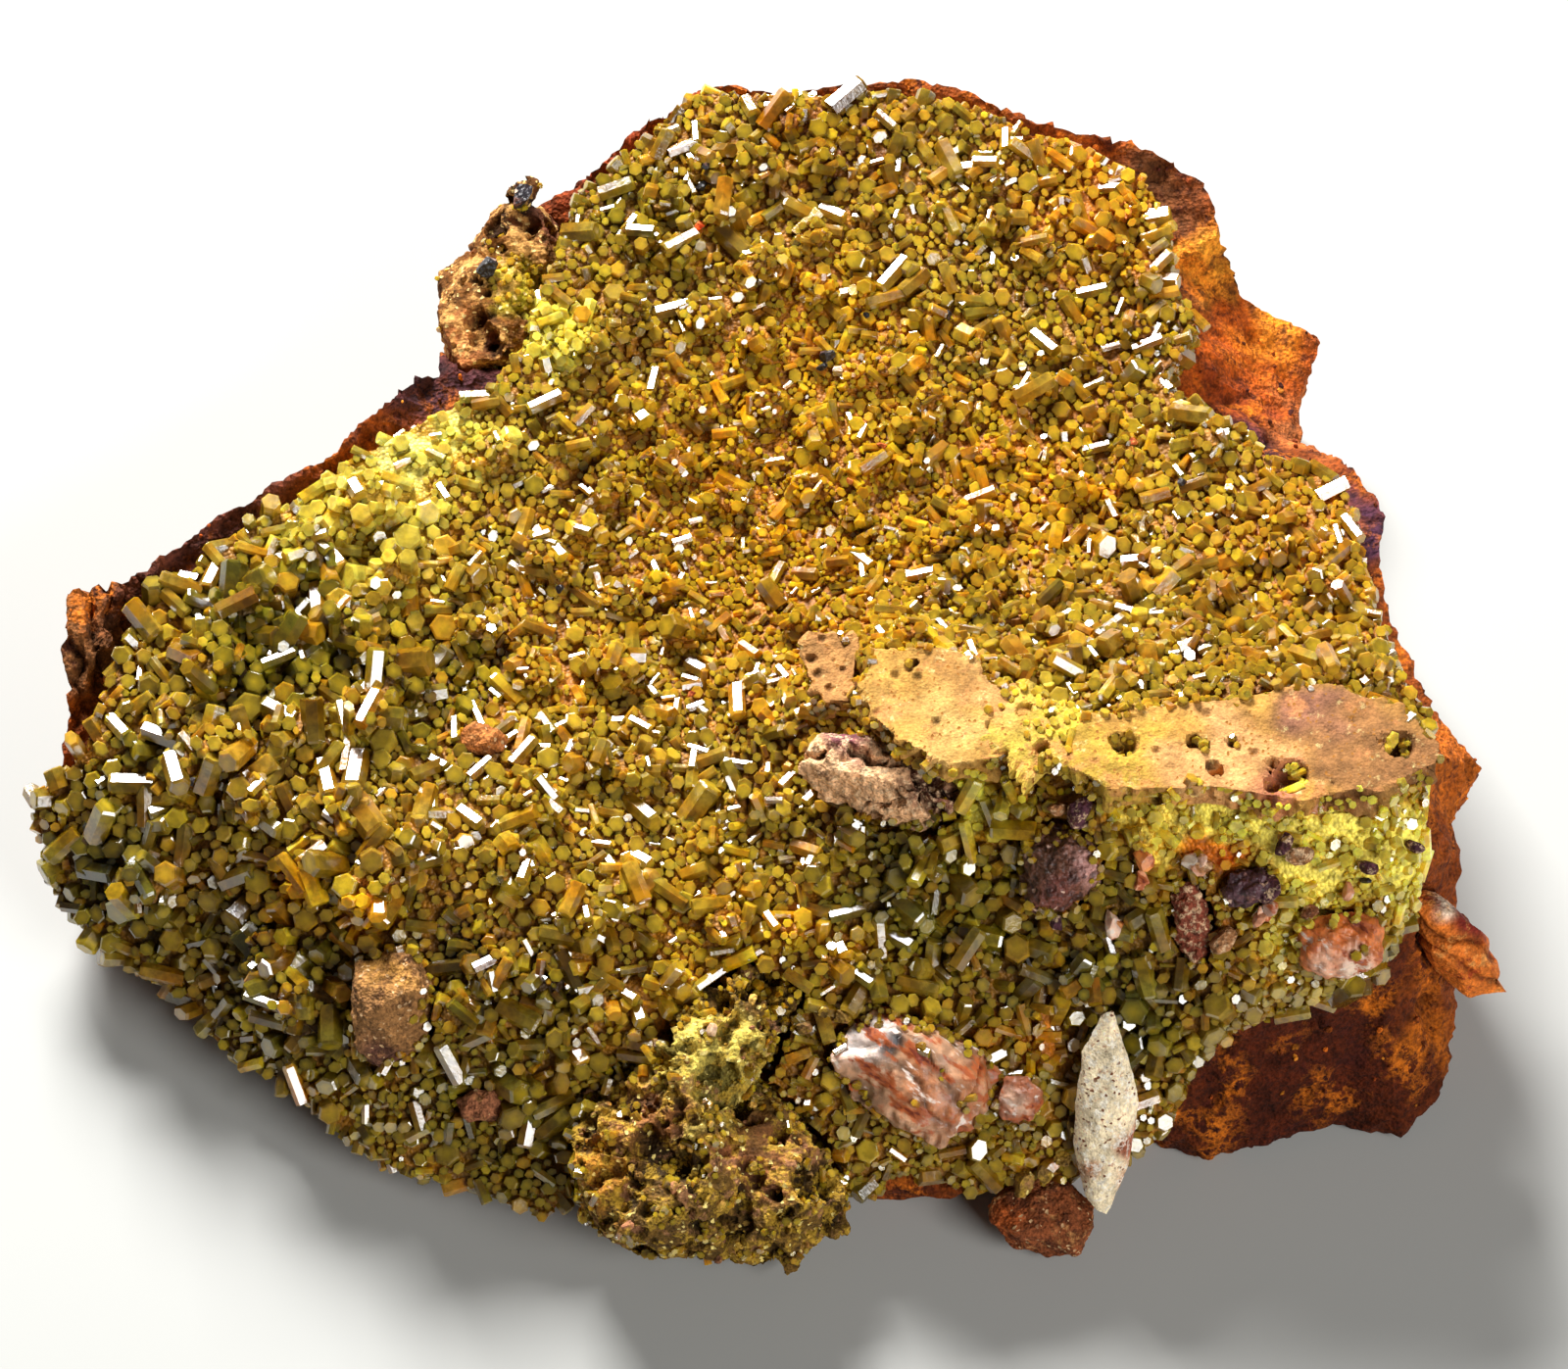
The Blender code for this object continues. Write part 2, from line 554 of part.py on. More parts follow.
def broken_rock(name, middle, half, turns, corners, boxiness, seed, swell=0.0):
    """A broken bit of rock: flat faces over jittered corners. swell makes its pocket cutter."""
    rng = np.random.default_rng(seed)
    ways = sphere_directions(corners, rng)
    ways = np.sign(ways) * np.abs(ways) ** boxiness
    reach = rng.uniform(*CORNER_REACH, (corners, 1))
    points = ways * reach * np.array(half) + ways * swell
    turn = Euler([math.radians(t) for t in turns]).to_matrix()
    made = bmesh.new()
    for p in points:
        place = turn @ Vector(p) + Vector(middle)
        place.z = max(place.z, FLOOR_CLEARANCE - swell * 2)
        made.verts.new(place)
    hull = bmesh.ops.convex_hull(made, input=made.verts[:])
    inner = [g for g in hull["geom_interior"] if isinstance(g, bmesh.types.BMVert)]
    bmesh.ops.delete(made, geom=inner, context="VERTS")
    return object_from(name, made)


def surface_tree(obj):
    """The object's faces in millimetres, for nearest-point questions."""
    points = [v.co / MM for v in obj.data.vertices]
    return BVHTree.FromPolygons(points, [tuple(p.vertices) for p in obj.data.polygons])


def surface_samples(obj, count, rng, lowest_normal):
    """Random places on the object's faces, with their normals, in millimetres."""
    mesh = obj.data
    mesh.calc_loop_triangles()
    faces = [t for t in mesh.loop_triangles if t.normal.z > lowest_normal]
    area = np.array([t.area for t in faces])
    picks = rng.choice(len(faces), count, p=area / area.sum())
    found = []
    for pick in picks:
        a, b, c = (mesh.vertices[i].co / MM for i in faces[pick].vertices)
        u, v = sorted(rng.uniform(0, 1, 2))
        found.append((a * u + b * (v - u) + c * (1 - v), faces[pick].normal.copy()))
    return found


def heap(name, lumps, pits, seed, swell=0.0):
    """Lumps joined in one rock and, unless it is a pocket cutter, holed like a sponge."""
    rock = None
    for number, (middle, half) in enumerate(lumps):
        lump = broken_rock(f"{name}_{number}", middle, half, (0, 0, LUMP_TURN * number),
                           LUMP_CORNERS, LUMP_BOXINESS, seed + number, swell)
        if rock is None:
            rock = lump
            rock.name = name
        else:
            combine(rock, helper(lump), "UNION")
    if swell:
        return rock
    rng = np.random.default_rng(seed)
    made = bmesh.new()
    taken = []
    for place, normal in surface_samples(rock, pits * 8, rng, -0.4):
        size = rng.uniform(*PIT_SIZES)
        clear = all((place - p).length > size + s + PIT_WALL for p, s in taken)
        if clear and len(taken) < pits:
            taken.append((place, size))
            ball = bmesh.ops.create_icosphere(made, subdivisions=1, radius=size)["verts"]
            bmesh.ops.translate(made, vec=place - normal * size * PIT_SINK, verts=ball)
    combine(rock, helper(object_from(f"{name}_pits", made)), "DIFFERENCE")
    return rock


def plate(name, outline, height, thickness, seed, swell=0.0):
    """A flat slab with a slightly rough top. swell makes its pocket cutter, open upwards."""
    rng = np.random.default_rng(seed)
    loop = np.array(outline)
    if swell:
        loop = np.array(outline) - outward_of(loop) * swell
        field = np.zeros((0, 2))
    else:
        field = field_points(loop, PLATE_STEP, PLATE_MARGIN, rng)
    places = np.vstack([loop, field])
    ids = list(range(len(loop)))
    triangles = triangulated(places, ids)
    if swell:
        heights = np.full(len(places), height + POCKET_OPENING)
    else:
        heights = height + rng.uniform(-1, 1, len(places)) * PLATE_ROUGHNESS
    top = np.column_stack([places, heights])
    ids.reverse()
    foot = top[ids].copy()
    foot[:, 2] = height - thickness - swell
    return slab(name, top, triangles, ids, [foot])


def cut_cast_holes(target, height):
    """Six-sided holes where crystals once stood in the plate."""
    made = bmesh.new()
    for x, y, radius in CAST_HOLES:
        post = bmesh.ops.create_cone(made, cap_ends=True, segments=6, radius1=radius * 0.8,
                                     radius2=radius, depth=CAST_DEPTH * 2)["verts"]
        bmesh.ops.translate(made, vec=(x, y, height), verts=post)
    combine(target, helper(object_from("cast_holes", made)), "DIFFERENCE")


def build_rocks():
    """Every bit of rock in the crust, with the cutter of the pocket that it sits in."""
    made = []
    for number, (name, (outline, height, thickness)) in enumerate(PLATES.items()):
        piece = plate(name, outline, height, thickness, SEED + number)
        cutter = plate(name + "_pocket", outline, height, thickness, SEED + number, POCKET_GAP)
        made.append((piece, helper(cutter)))
    for name, lumps, pits in (("porous_gossan", GOSSAN_LUMPS, GOSSAN_PITS),
                              ("vuggy_rock", VUGGY_LUMPS, VUGGY_PITS)):
        piece = heap(name, lumps, pits, SEED)
        made.append((piece, helper(heap(name + "_pocket", lumps, 0, SEED, POCKET_GAP))))
    for number, (name, shape) in enumerate(CLASTS.items()):
        piece = broken_rock(name, *shape, SEED + number)
        cutter = broken_rock(name + "_pocket", *shape, SEED + number, POCKET_GAP)
        made.append((piece, helper(cutter)))
    return made


def boxes_meet(first, second):
    corners = []
    for obj in (first, second):
        points = np.array([v.co for v in obj.data.vertices])
        corners.append((points.min(axis=0), points.max(axis=0)))
    (low_a, high_a), (low_b, high_b) = corners
    return bool((low_a < high_b).all() and (low_b < high_a).all())


def crystal_width(x, rng):
    """Large prisms on the left, small ones in the hollow and on the right."""
    left = min(max((HOLLOW_X - x) / WIDENING_RUN, 0.0), 1.0)
    widest = NARROWEST_CRYSTAL + (WIDEST_CRYSTAL - NARROWEST_CRYSTAL) * left
    return widest * rng.uniform(*WIDTH_SPREAD)


def hexagon_about(axis, spin):
    """Six unit vectors square to the axis, anticlockwise round it."""
    side = axis.orthogonal().normalized()
    other = axis.cross(side)
    angles = [spin + i * math.pi / 3 for i in range(6)]
    return [side * math.cos(a) + other * math.sin(a) for a in angles]


def leaning(normal, lean, rng):
    """The normal tipped over by the angle lean, to any side."""
    side = normal.orthogonal().normalized()
    around = normal.cross(side)
    angle = rng.uniform(0, 2 * math.pi)
    tip = side * math.cos(angle) + around * math.sin(angle)
    return (normal * math.cos(lean) + tip * math.sin(lean)).normalized()


def clear_of(tree, corner):
    """Whether a corner stays outside the faces of the tree by more than the gap."""
    nearest, normal, _, _ = tree.find_nearest(corner)
    away = corner - nearest
    return away.length > FAR_OFF or (away.length > GAP and away.dot(normal) > 0)


def standing_prism(relief, middle, axis, width, height, spin):
    """A prism's foot on the crust's face and its flat end, each of six corners.

    Each foot corner slides along the axis, a few damped steps, until it meets the face.
    """
    ways = np.array([tuple(w) for w in hexagon_about(axis, spin)]) * width / 2
    along = np.array(tuple(axis))
    foot = middle + ways
    for _ in range(5):
        short = relief.heights(foot) - foot[:, 2]
        foot = foot + along * (short * 0.8 / max(along[2], 0.5))[:, None]
    return foot, middle + along * height + ways * CRYSTAL_TAPER


def face_prisms(ground, keep_off, rng):
    """Prisms strewn over the crust's face, none of them touching another."""
    outline = ground.crust_outline
    low, high = outline.min(axis=0), outline.max(axis=0)
    spots = rng.uniform(low, high, (FACE_TRIALS, 2))
    spots = spots[inside(spots, outline)]
    onward = np.roll(outline, -1, axis=0) - outline
    dense = np.concatenate([outline + onward * share for share in (0, 1 / 3, 2 / 3)])
    found, circles = [], []
    for x, y in spots:
        if len(found) == FACE_CRYSTALS:
            break
        middle = np.array([x, y, ground.relief.heights([(x, y)])[0]])
        width = crystal_width(x, rng)
        height = width * rng.uniform(*HEIGHT_SHARES)
        lean = MOST_LEAN * rng.uniform(0, 1)
        half = 0.5
        rise = ground.relief.heights([(x - half, y), (x + half, y), (x, y - half), (x, y + half)])
        normal = Vector((rise[0] - rise[1], rise[2] - rise[3], 2 * half)).normalized()
        axis = leaning(normal, lean, rng)
        foot, end = standing_prism(ground.relief, middle, axis, width, height,
                                   rng.uniform(0, math.pi / 3))
        centre = foot.mean(axis=0)[:2]
        spread = np.linalg.norm(foot[:, :2] - centre, axis=1).max()
        walls = ((end - foot) @ np.array(tuple(axis))).min()
        to_edge = np.linalg.norm(dense - centre, axis=1).min()
        if walls < LEAST_WALL or to_edge < spread + ROOM_AT_EDGE:
            continue
        if any(np.hypot(*(centre - c)) < spread + r + ROOM_BETWEEN for c, r in circles):
            continue
        if all(clear_of(tree, Vector(p)) for tree in keep_off for p in np.vstack([foot, end])):
            found.append((foot, end))
            circles.append((centre, spread))
    return found


def grow_lip_crystals(crust, keep_off, rng):
    """A few prisms that jut sideways from the front lip, joined to the crust."""
    made = bmesh.new()
    taken = []
    for place, normal in surface_samples(crust, LIP_TRIALS, rng, -0.2):
        if len(taken) == LIP_CRYSTALS:
            break
        if normal.z > LIP_STEEPNESS or any((place - p).length < LIP_SPACING for p in taken):
            continue
        width = crystal_width(place.x, rng)
        axis = leaning(normal, MOST_LEAN * rng.uniform(0, 0.5), rng)
        ways = [w * width / 2 for w in hexagon_about(axis, rng.uniform(0, math.pi / 3))]
        foot = [place - axis * ROOT_DEPTH + w for w in ways]
        end = [place + axis * width * LIP_LENGTH + w * CRYSTAL_TAPER for w in ways]
        if all(clear_of(tree, corner) for tree in keep_off for corner in foot + end):
            taken.append(place)
            lower = [made.verts.new(p) for p in foot]
            upper = [made.verts.new(p) for p in end]
            for i in range(6):
                made.faces.new((upper[i - 1], lower[i - 1], lower[i], upper[i]))
            made.faces.new(upper)
            made.faces.new(lower[::-1])
    combine(crust, helper(object_from("lip_prisms", made)), "UNION")


def cut_recesses(crust):
    for number, (middle, half) in enumerate(RECESSES):
        hollow = broken_rock(f"recess_{number}", middle, half, (0, 0, 0), 22, 0.9, SEED, 0.0)
        combine(crust, helper(hollow), "DIFFERENCE")


def centre_on_origin(nodes):
    """Moves the specimen so that the middle of its footprint is the origin."""
    points = np.array([v.co for obj in nodes for v in obj.data.vertices])
    low, high = points.min(axis=0), points.max(axis=0)
    shift = Vector((-(low[0] + high[0]) / 2, -(low[1] + high[1]) / 2, -low[2]))
    for obj in nodes:
        for vert in obj.data.vertices:
            vert.co += shift


def main():
    clear_scene()
    rng = np.random.default_rng(SEED)
    ground = Ground(rng)
    matrix = build_slab(ground, rng)
    rocks = build_rocks()
    for number, (piece, _) in enumerate(rocks):
        for _, earlier in rocks[:number]:
            if boxes_meet(piece, earlier):
                combine(piece, earlier, "DIFFERENCE")
    cut_cast_holes(rocks[1][0], PLATES["ochre_plate_right"][1])
    keep_off = [surface_tree(piece) for piece, _ in rocks] + [surface_tree(matrix)]
    crust = build_crust(ground, face_prisms(ground, keep_off, rng), rng)
    cut_recesses(crust)
    grow_lip_crystals(crust, keep_off, rng)
    for _, pocket in rocks:
        for target in (crust, matrix):
            if boxes_meet(target, pocket):
                combine(target, pocket, "DIFFERENCE")
    nodes = [matrix, crust] + [piece for piece, _ in rocks]
    for obj in [o for o in bpy.data.objects if o not in nodes]:
        bpy.data.objects.remove(obj, do_unlink=True)
    centre_on_origin(nodes)
    for obj in nodes:
        obj.data.materials.clear()
        obj.data.materials.append(finish_of(obj.name))


main()
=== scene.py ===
# %% [markdown]
# # A hand specimen of pyromorphite
# A slab of rusty limonite, about 11 cm long, lies on its broken underside. Its upper face is coated
# with a druse: thousands of stubby six-sided prisms of pyromorphite, olive to honey gold, grown over
# each other. Bits of ochre, goethite, quartz and spongy gossan sit in the crust.
#
# The slab and its rocks are loaded as a fixed frame of plain faceted solids. Each one is then copied
# and given its broken surface, and the druse is grown over the crust crystal by crystal.

# %% Load the fixed frame
import json
import math

import bpy
import numpy as np
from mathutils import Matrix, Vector
from mathutils.bvhtree import BVHTree
from mathutils.kdtree import KDTree

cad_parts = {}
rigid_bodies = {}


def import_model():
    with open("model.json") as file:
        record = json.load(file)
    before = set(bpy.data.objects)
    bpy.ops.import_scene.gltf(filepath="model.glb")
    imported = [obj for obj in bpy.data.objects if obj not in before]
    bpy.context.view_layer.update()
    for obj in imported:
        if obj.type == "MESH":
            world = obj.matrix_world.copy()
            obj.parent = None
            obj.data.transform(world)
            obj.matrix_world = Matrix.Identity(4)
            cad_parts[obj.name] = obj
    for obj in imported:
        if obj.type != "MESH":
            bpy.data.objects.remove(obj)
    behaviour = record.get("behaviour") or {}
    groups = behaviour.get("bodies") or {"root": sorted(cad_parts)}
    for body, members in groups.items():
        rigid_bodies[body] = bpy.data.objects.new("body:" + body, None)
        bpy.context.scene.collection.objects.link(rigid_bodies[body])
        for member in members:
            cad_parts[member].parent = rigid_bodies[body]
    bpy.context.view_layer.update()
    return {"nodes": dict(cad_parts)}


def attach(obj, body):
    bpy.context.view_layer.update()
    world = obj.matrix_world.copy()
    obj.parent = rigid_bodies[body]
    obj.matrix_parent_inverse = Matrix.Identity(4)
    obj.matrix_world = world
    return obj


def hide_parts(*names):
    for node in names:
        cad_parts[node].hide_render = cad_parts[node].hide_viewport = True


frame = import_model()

MM = 0.001
print("pieces of the frame:", len(frame["nodes"]))

# %% [markdown]
# ## Camera
# The photograph looks down on the specimen from the front, from about 60 degrees above. A long lens
# from two thirds of a metre keeps the far side as large as the near side, as in a close-up taken
# with a macro lens from some way off.

# %% Camera
AIM = Vector((1.6, -2.98, 15.0)) * MM
CAMERA_HEIGHT = math.radians(60)
CAMERA_DISTANCE = 0.6667
LENS = 200
TO_CAMERA = Vector((0, -math.cos(CAMERA_HEIGHT), math.sin(CAMERA_HEIGHT)))

bpy.ops.object.camera_add(location=AIM + TO_CAMERA * CAMERA_DISTANCE,
                          rotation=(math.radians(90) - CAMERA_HEIGHT, 0, 0))
camera = bpy.context.object
camera.data.lens = LENS
bpy.context.scene.camera = camera
print("camera at", [round(c, 3) for c in camera.location])

# %% [markdown]
# ## Light
# The crystals show two kinds of light. Their flat faces act as small mirrors: wherever one faces
# halfway between the lamp and the eye it flashes white. That needs one lamp of moderate size, high
# behind the specimen. A larger and weaker lamp in front and a faint warm sky fill the shadows, so
# that the shaded sides keep their honey colour.

# %% Lamps and sky
LAMPS = [
    # name, direction from the specimen, distance in metres, side in metres, watts
    ("key", (-0.28, 0.82, 0.70), 0.70, 0.24, 15.0),
    ("front_fill", (0.65, -0.66, 0.65), 0.90, 0.45, 6.0),
]
for name, way, far, side, power in LAMPS:
    way = Vector(way).normalized()
    turn = way.to_track_quat("Z", "Y").to_euler()
    bpy.ops.object.light_add(type="AREA", location=AIM + way * far, rotation=turn)
    lamp = bpy.context.object
    lamp.name = name
    lamp.data.size = side
    lamp.data.energy = power

SKY_STRENGTH = 0.06
SKY_COLOUR = (1.0, 0.97, 0.92, 1)
world = bpy.data.worlds.new("studio")
bpy.context.scene.world = world
world.use_nodes = True
sky = world.node_tree.nodes["Background"]
sky.inputs["Color"].default_value = SKY_COLOUR
sky.inputs["Strength"].default_value = SKY_STRENGTH
bpy.context.scene.view_settings.view_transform = "Standard"
print("lamps:", [name for name, *_ in LAMPS])

# %% [markdown]
# ## Where a spot of the photograph lies on the rock
# Colours and crystal sizes change from place to place over the specimen. Each such spot is written
# down as millimetres right and up of the middle of the photograph. The function below lays that flat
# picture plane over the model, so that a spot is found on the rock itself and stays on it.

# %% Places as seen in the photograph
WAVES = 9
WAVE_SUM = 2.6      # brings the sum of so many waves back to about -1 to 1


def seen(places):
    """Millimetres right and up of the picture's middle, for places in metres."""
    from_aim = np.asarray(places) - np.array(AIM)
    up = np.array((0, math.sin(CAMERA_HEIGHT), math.cos(CAMERA_HEIGHT)))
    return np.stack([from_aim[:, 0], from_aim @ up], axis=1) / MM


def ripple(places, size, seed):
    """Smooth random ups and downs, about -1 to 1, whose waves are size millimetres long."""
    rng = np.random.default_rng(seed)
    total = np.zeros(len(places))
    for _ in range(WAVES):
        way = rng.normal(size=3)
        way *= 2 * math.pi / (np.linalg.norm(way) * size * MM * rng.uniform(0.6, 1.6))
        total += np.sin(places @ way + rng.uniform(0, 2 * math.pi))
    return total / WAVE_SUM


print("picture place of the origin:", seen(np.zeros((1, 3))).round(1))

# %% Colours, and values that change from spot to spot
WOBBLE_SIZE, WOBBLE = 5.0, 1.6      # millimetres from wave to wave, and sideways
EDGE = 1.35                         # a spot fades out at that many of its radii


def linear(code):
    """The linear colour of an sRGB hex code, as Blender's sockets and attributes take it."""
    parts = np.array([int(code[i:i + 2], 16) / 255 for i in (1, 3, 5)])
    return np.where(parts <= 0.04045, parts / 12.92, ((parts + 0.055) / 1.055) ** 2.4)


def blended(places, base, spots, seed=3):
    """The base value, drawn towards each spot's own value near that spot. Edges are uneven."""
    value = np.tile(np.atleast_1d(np.asarray(base, float)), (len(places), 1))
    flat = seen(places)
    waves = [ripple(places, WOBBLE_SIZE, seed), ripple(places, WOBBLE_SIZE, seed + 1)]
    wobble = np.stack(waves, axis=1) * WOBBLE
    for right, up, radius, own in spots:
        shift = wobble * min(1, radius / WOBBLE_SIZE)
        far = np.linalg.norm(flat + shift - [right, up], axis=1) / radius
        near = np.clip(EDGE - far, 0, 1)[:, None]
        near = near * near * (3 - 2 * near)
        value += (np.atleast_1d(np.asarray(own, float)) - value) * near
    return value


print("rust as linear colour:", linear("#863E12").round(3))

# %% From the photograph back to the rock
CLEAR_OF_ROCK = 0.1      # metres


def tree_of(objects):
    """One search tree over the faces of several pieces."""
    points, faces = [], []
    for piece in objects:
        first = len(points)
        points += [v.co.copy() for v in piece.data.vertices]
        faces += [tuple(first + v for v in p.vertices) for p in piece.data.polygons]
    return BVHTree.FromPolygons(points, faces)


def under(spot, tree):
    """The place and normal where the camera's line through a picture spot meets a tree."""
    up_way = Vector((0, math.sin(CAMERA_HEIGHT), math.cos(CAMERA_HEIGHT)))
    start = AIM + Vector((spot[0], 0, 0)) * MM + up_way * spot[1] * MM + TO_CAMERA * CLEAR_OF_ROCK
    place, normal, _, _ = tree.ray_cast(start, -TO_CAMERA)
    return None if place is None else (np.array(place), np.array(normal))


middle_of_picture = under((0, 0), tree_of(frame["nodes"].values()))[0]
print("the picture's middle lies at, in mm:", (middle_of_picture / MM).round(1))

# %% [markdown]
# ## Tools for the rocks
# A broken rock starts as a copy of its plain solid. Its faces are merged at their corners, remeshed
# into an even skin of small squares, and pushed in and out by noise of a few sizes: large for the
# knocks, small for the grain. That is how one would sculpt it, with a rough pass and a fine pass.

# %% Copy a solid
def only(piece):
    """Makes the piece the one that operators act on."""
    bpy.ops.object.select_all(action="DESELECT")
    piece.select_set(True)
    bpy.context.view_layer.objects.active = piece


def copy_of(node, name):
    """A free copy of a node's solid, with its loose triangles merged."""
    only(frame["nodes"][node])
    bpy.ops.object.duplicate()
    piece = bpy.context.object
    piece.parent = None
    piece.name = name
    piece.data.name = name
    for key in list(piece.keys()):
        del piece[key]
    piece.data.materials.clear()
    bpy.ops.object.mode_set(mode="EDIT")
    bpy.ops.mesh.select_all(action="SELECT")
    bpy.ops.mesh.remove_doubles(threshold=1e-6)
    bpy.ops.object.mode_set(mode="OBJECT")
    return piece

# %% Read and move the points of a skin
def corners_of(piece):
    """The piece's points, in metres."""
    points = np.empty(len(piece.data.vertices) * 3)
    piece.data.vertices.foreach_get("co", points)
    return points.reshape(-1, 3)


def outward_of(piece):
    """The normal at each of the piece's points."""
    normals = np.empty(len(piece.data.vertices) * 3)
    piece.data.vertex_normals.foreach_get("vector", normals)
    return normals.reshape(-1, 3)


def move_corners(piece, points):
    """Puts the piece's points at new places, in metres."""
    piece.data.vertices.foreach_set("co", points.ravel())
    piece.data.update()

# %% Remesh and roughen
def remeshed(piece, square):
    """Redraws the piece's skin in squares of that many millimetres, and drops loose scraps."""
    only(piece)
    piece.data.remesh_voxel_size = square * MM
    piece.data.remesh_voxel_adaptivity = 0
    bpy.ops.object.voxel_remesh()
    # a thin tip can come loose as a scrap, so all that isn't joined to the inmost point is deleted
    bpy.ops.object.mode_set(mode="EDIT")
    bpy.ops.mesh.select_all(action="DESELECT")
    bpy.ops.object.mode_set(mode="OBJECT")
    points = corners_of(piece)
    inmost = np.linalg.norm(points - points.mean(axis=0), axis=1).argmin()
    piece.data.vertices[int(inmost)].select = True
    bpy.ops.object.mode_set(mode="EDIT")
    bpy.ops.mesh.select_mode(type="VERT")
    bpy.ops.mesh.select_linked()
    bpy.ops.mesh.select_all(action="INVERT")
    bpy.ops.mesh.delete(type="VERT")
    bpy.ops.object.mode_set(mode="OBJECT")


def roughened(piece, passes):
    """Pushes the skin in and out by noise: its kind, size and depth in millimetres."""
    only(piece)
    for kind, size, depth in passes:
        noise = bpy.data.textures.new(f"{piece.name}_{kind}_{size}", kind)
        noise.noise_scale = size * MM
        if kind == "CLOUDS":
            noise.noise_depth = 2
        push = piece.modifiers.new("push", "DISPLACE")
        push.texture = noise
        push.texture_coords = "LOCAL"
        push.mid_level = 0.5
        push.strength = depth * MM
        bpy.ops.object.modifier_apply(modifier=push.name)

# %% [markdown]
# Noise alone makes every rock look alike. What tells them apart is how they wear: a sponge of pits,
# cracks where a rock has split, pages where it was laid down in layers, and frayed thin edges. Each
# of these is one function on the points of the skin. It also notes how deep each point lies in a
# hollow, so that the paint darkens it there: painted shade.

# %% Pits and holes
DEEPEST_PIT = 1.6      # millimetres


def note_painted_shade(piece, depth):
    """Notes how deep each point lies in a hollow, 0 to 1, for the painted shade there."""
    layer = piece.data.attributes.get("hollow")
    if layer is None:
        layer = piece.data.attributes.new("hollow", "FLOAT", "POINT")
    before = np.empty(len(depth))
    layer.data.foreach_get("value", before)
    layer.data.foreach_set("value", np.maximum(before, depth))


def sunk(piece, centres, radii, ways, depth):
    """Round holes at the given places. depth is a share of each radius."""
    points = corners_of(piece)
    tree = KDTree(len(points))
    for number, point in enumerate(points):
        tree.insert(point, number)
    tree.balance()
    moved = points.copy()
    dark = np.zeros(len(points))
    for centre, radius, way in zip(centres, radii, ways):
        near = tree.find_range(centre, radius * MM)
        ids = np.array([i for _, i, _ in near], int)
        share = 1 - (np.array([d for _, _, d in near]) / (radius * MM)) ** 3
        moved[ids] -= np.array(way) * (min(depth * radius, DEEPEST_PIT) * MM * share)[:, None]
        # painted shade: the pit is noted darkest in its middle
        dark[ids] = np.maximum(dark[ids], share * min(1, depth))
    note_painted_shade(piece, dark)
    move_corners(piece, moved)


def pitted(piece, count, sizes, depth, seed, lowest=-0.3):
    """Strewn holes, like the cells of a sponge. sizes are their radii in millimetres."""
    rng = np.random.default_rng(seed)
    points, normals = corners_of(piece), outward_of(piece)
    picks = rng.choice(np.nonzero(normals[:, 2] > lowest)[0], count)
    sunk(piece, points[picks], rng.uniform(*sizes, count), normals[picks], depth)


def holed(piece, spots, depth=1.4):
    """Holes where the photograph shows them: millimetres right and up, and radius."""
    tree = tree_of([piece])
    hits = [(*hit, spot[2]) for hit, spot in ((under(spot, tree), spot) for spot in spots) if hit]
    sunk(piece, [h[0] for h in hits], [h[2] for h in hits], [h[1] for h in hits], depth)

# %% Cracks, layers and frayed edges
CRACK_WANDER = 0.35      # millimetres to either side
PAGE_WANDER = 0.3        # share of a page's thickness


def cracked(piece, cracks):
    """Narrow grooves where the rock has split: a point, the way across, width and depth in mm."""
    points, normals = corners_of(piece), outward_of(piece)
    for place, across, width, depth in cracks:
        across = np.array(across) / np.linalg.norm(across)
        off = (points / MM - place) @ across + CRACK_WANDER * ripple(points, 2.5, 5)
        share = np.clip(1 - np.abs(off) / width, 0, 1)
        points = points - normals * share[:, None] * depth * MM
        # painted shade along the crack
        note_painted_shade(piece, share)
    move_corners(piece, points)


def layered(piece, place, reach, across, step, depth):
    """Grooves side by side, like the pages of a book, within reach of a place. All in mm."""
    points, normals = corners_of(piece), outward_of(piece)
    across = np.array(across) / np.linalg.norm(across)
    near = np.clip(1.5 - np.linalg.norm(points / MM - place, axis=1) / reach, 0, 1)
    pages = (points / MM) @ across / step + PAGE_WANDER * ripple(points, 5.0, 6)
    groove = np.clip(np.abs(pages % 1 - 0.5) * 4 - 1, 0, 1) * near
    # painted shade in the grooves between the pages
    note_painted_shade(piece, groove * 0.8)
    move_corners(piece, points - normals * groove[:, None] * depth * MM)


def ragged(piece, size, depth):
    """Frays the side walls of a flat piece and leaves its top alone."""
    points, normals = corners_of(piece), outward_of(piece)
    sideways = 1 - np.abs(normals[:, 2:])
    wave = ripple(points, size, 41) + 0.6 * ripple(points, size / 3, 42)
    move_corners(piece, points + normals * sideways * wave[:, None] * depth * MM)

# %% Paint
# painted shade: how far a point deep in a pit, crack or groove is darkened
PAINTED_SHADE_MOST = 0.8      # how much of its light a point loses at the bottom of a hollow


def painted(piece, base, spots, seed=3):
    """Stores each point's colour, with painted shade in its hollows, for its material to read."""
    colours = blended(corners_of(piece), linear(base), [(*s[:3], linear(s[3])) for s in spots], seed)
    # painted shade: the colour is darkened as deep as the point lies in a hollow
    hollow = piece.data.attributes.get("hollow")
    if hollow is not None:
        depth = np.empty(len(colours))
        hollow.data.foreach_get("value", depth)
        colours *= (1 - PAINTED_SHADE_MOST * depth)[:, None]
    layer = piece.data.attributes.new("tint", "FLOAT_COLOR", "POINT")
    layer.data.foreach_set("color", np.column_stack([colours, np.ones(len(colours))]).ravel())


def size_of(piece):
    """How many triangles the piece's faces come to."""
    return sum(len(p.vertices) - 2 for p in piece.data.polygons)

# %% [markdown]
# ## Materials
# Every finish starts from the colour that its piece was painted with, and adds what is too fine to
# model: grains, veins, specks and the small bumps between them. One function adds a node to a
# material, sets it and wires it, so that each recipe below reads from top to bottom.

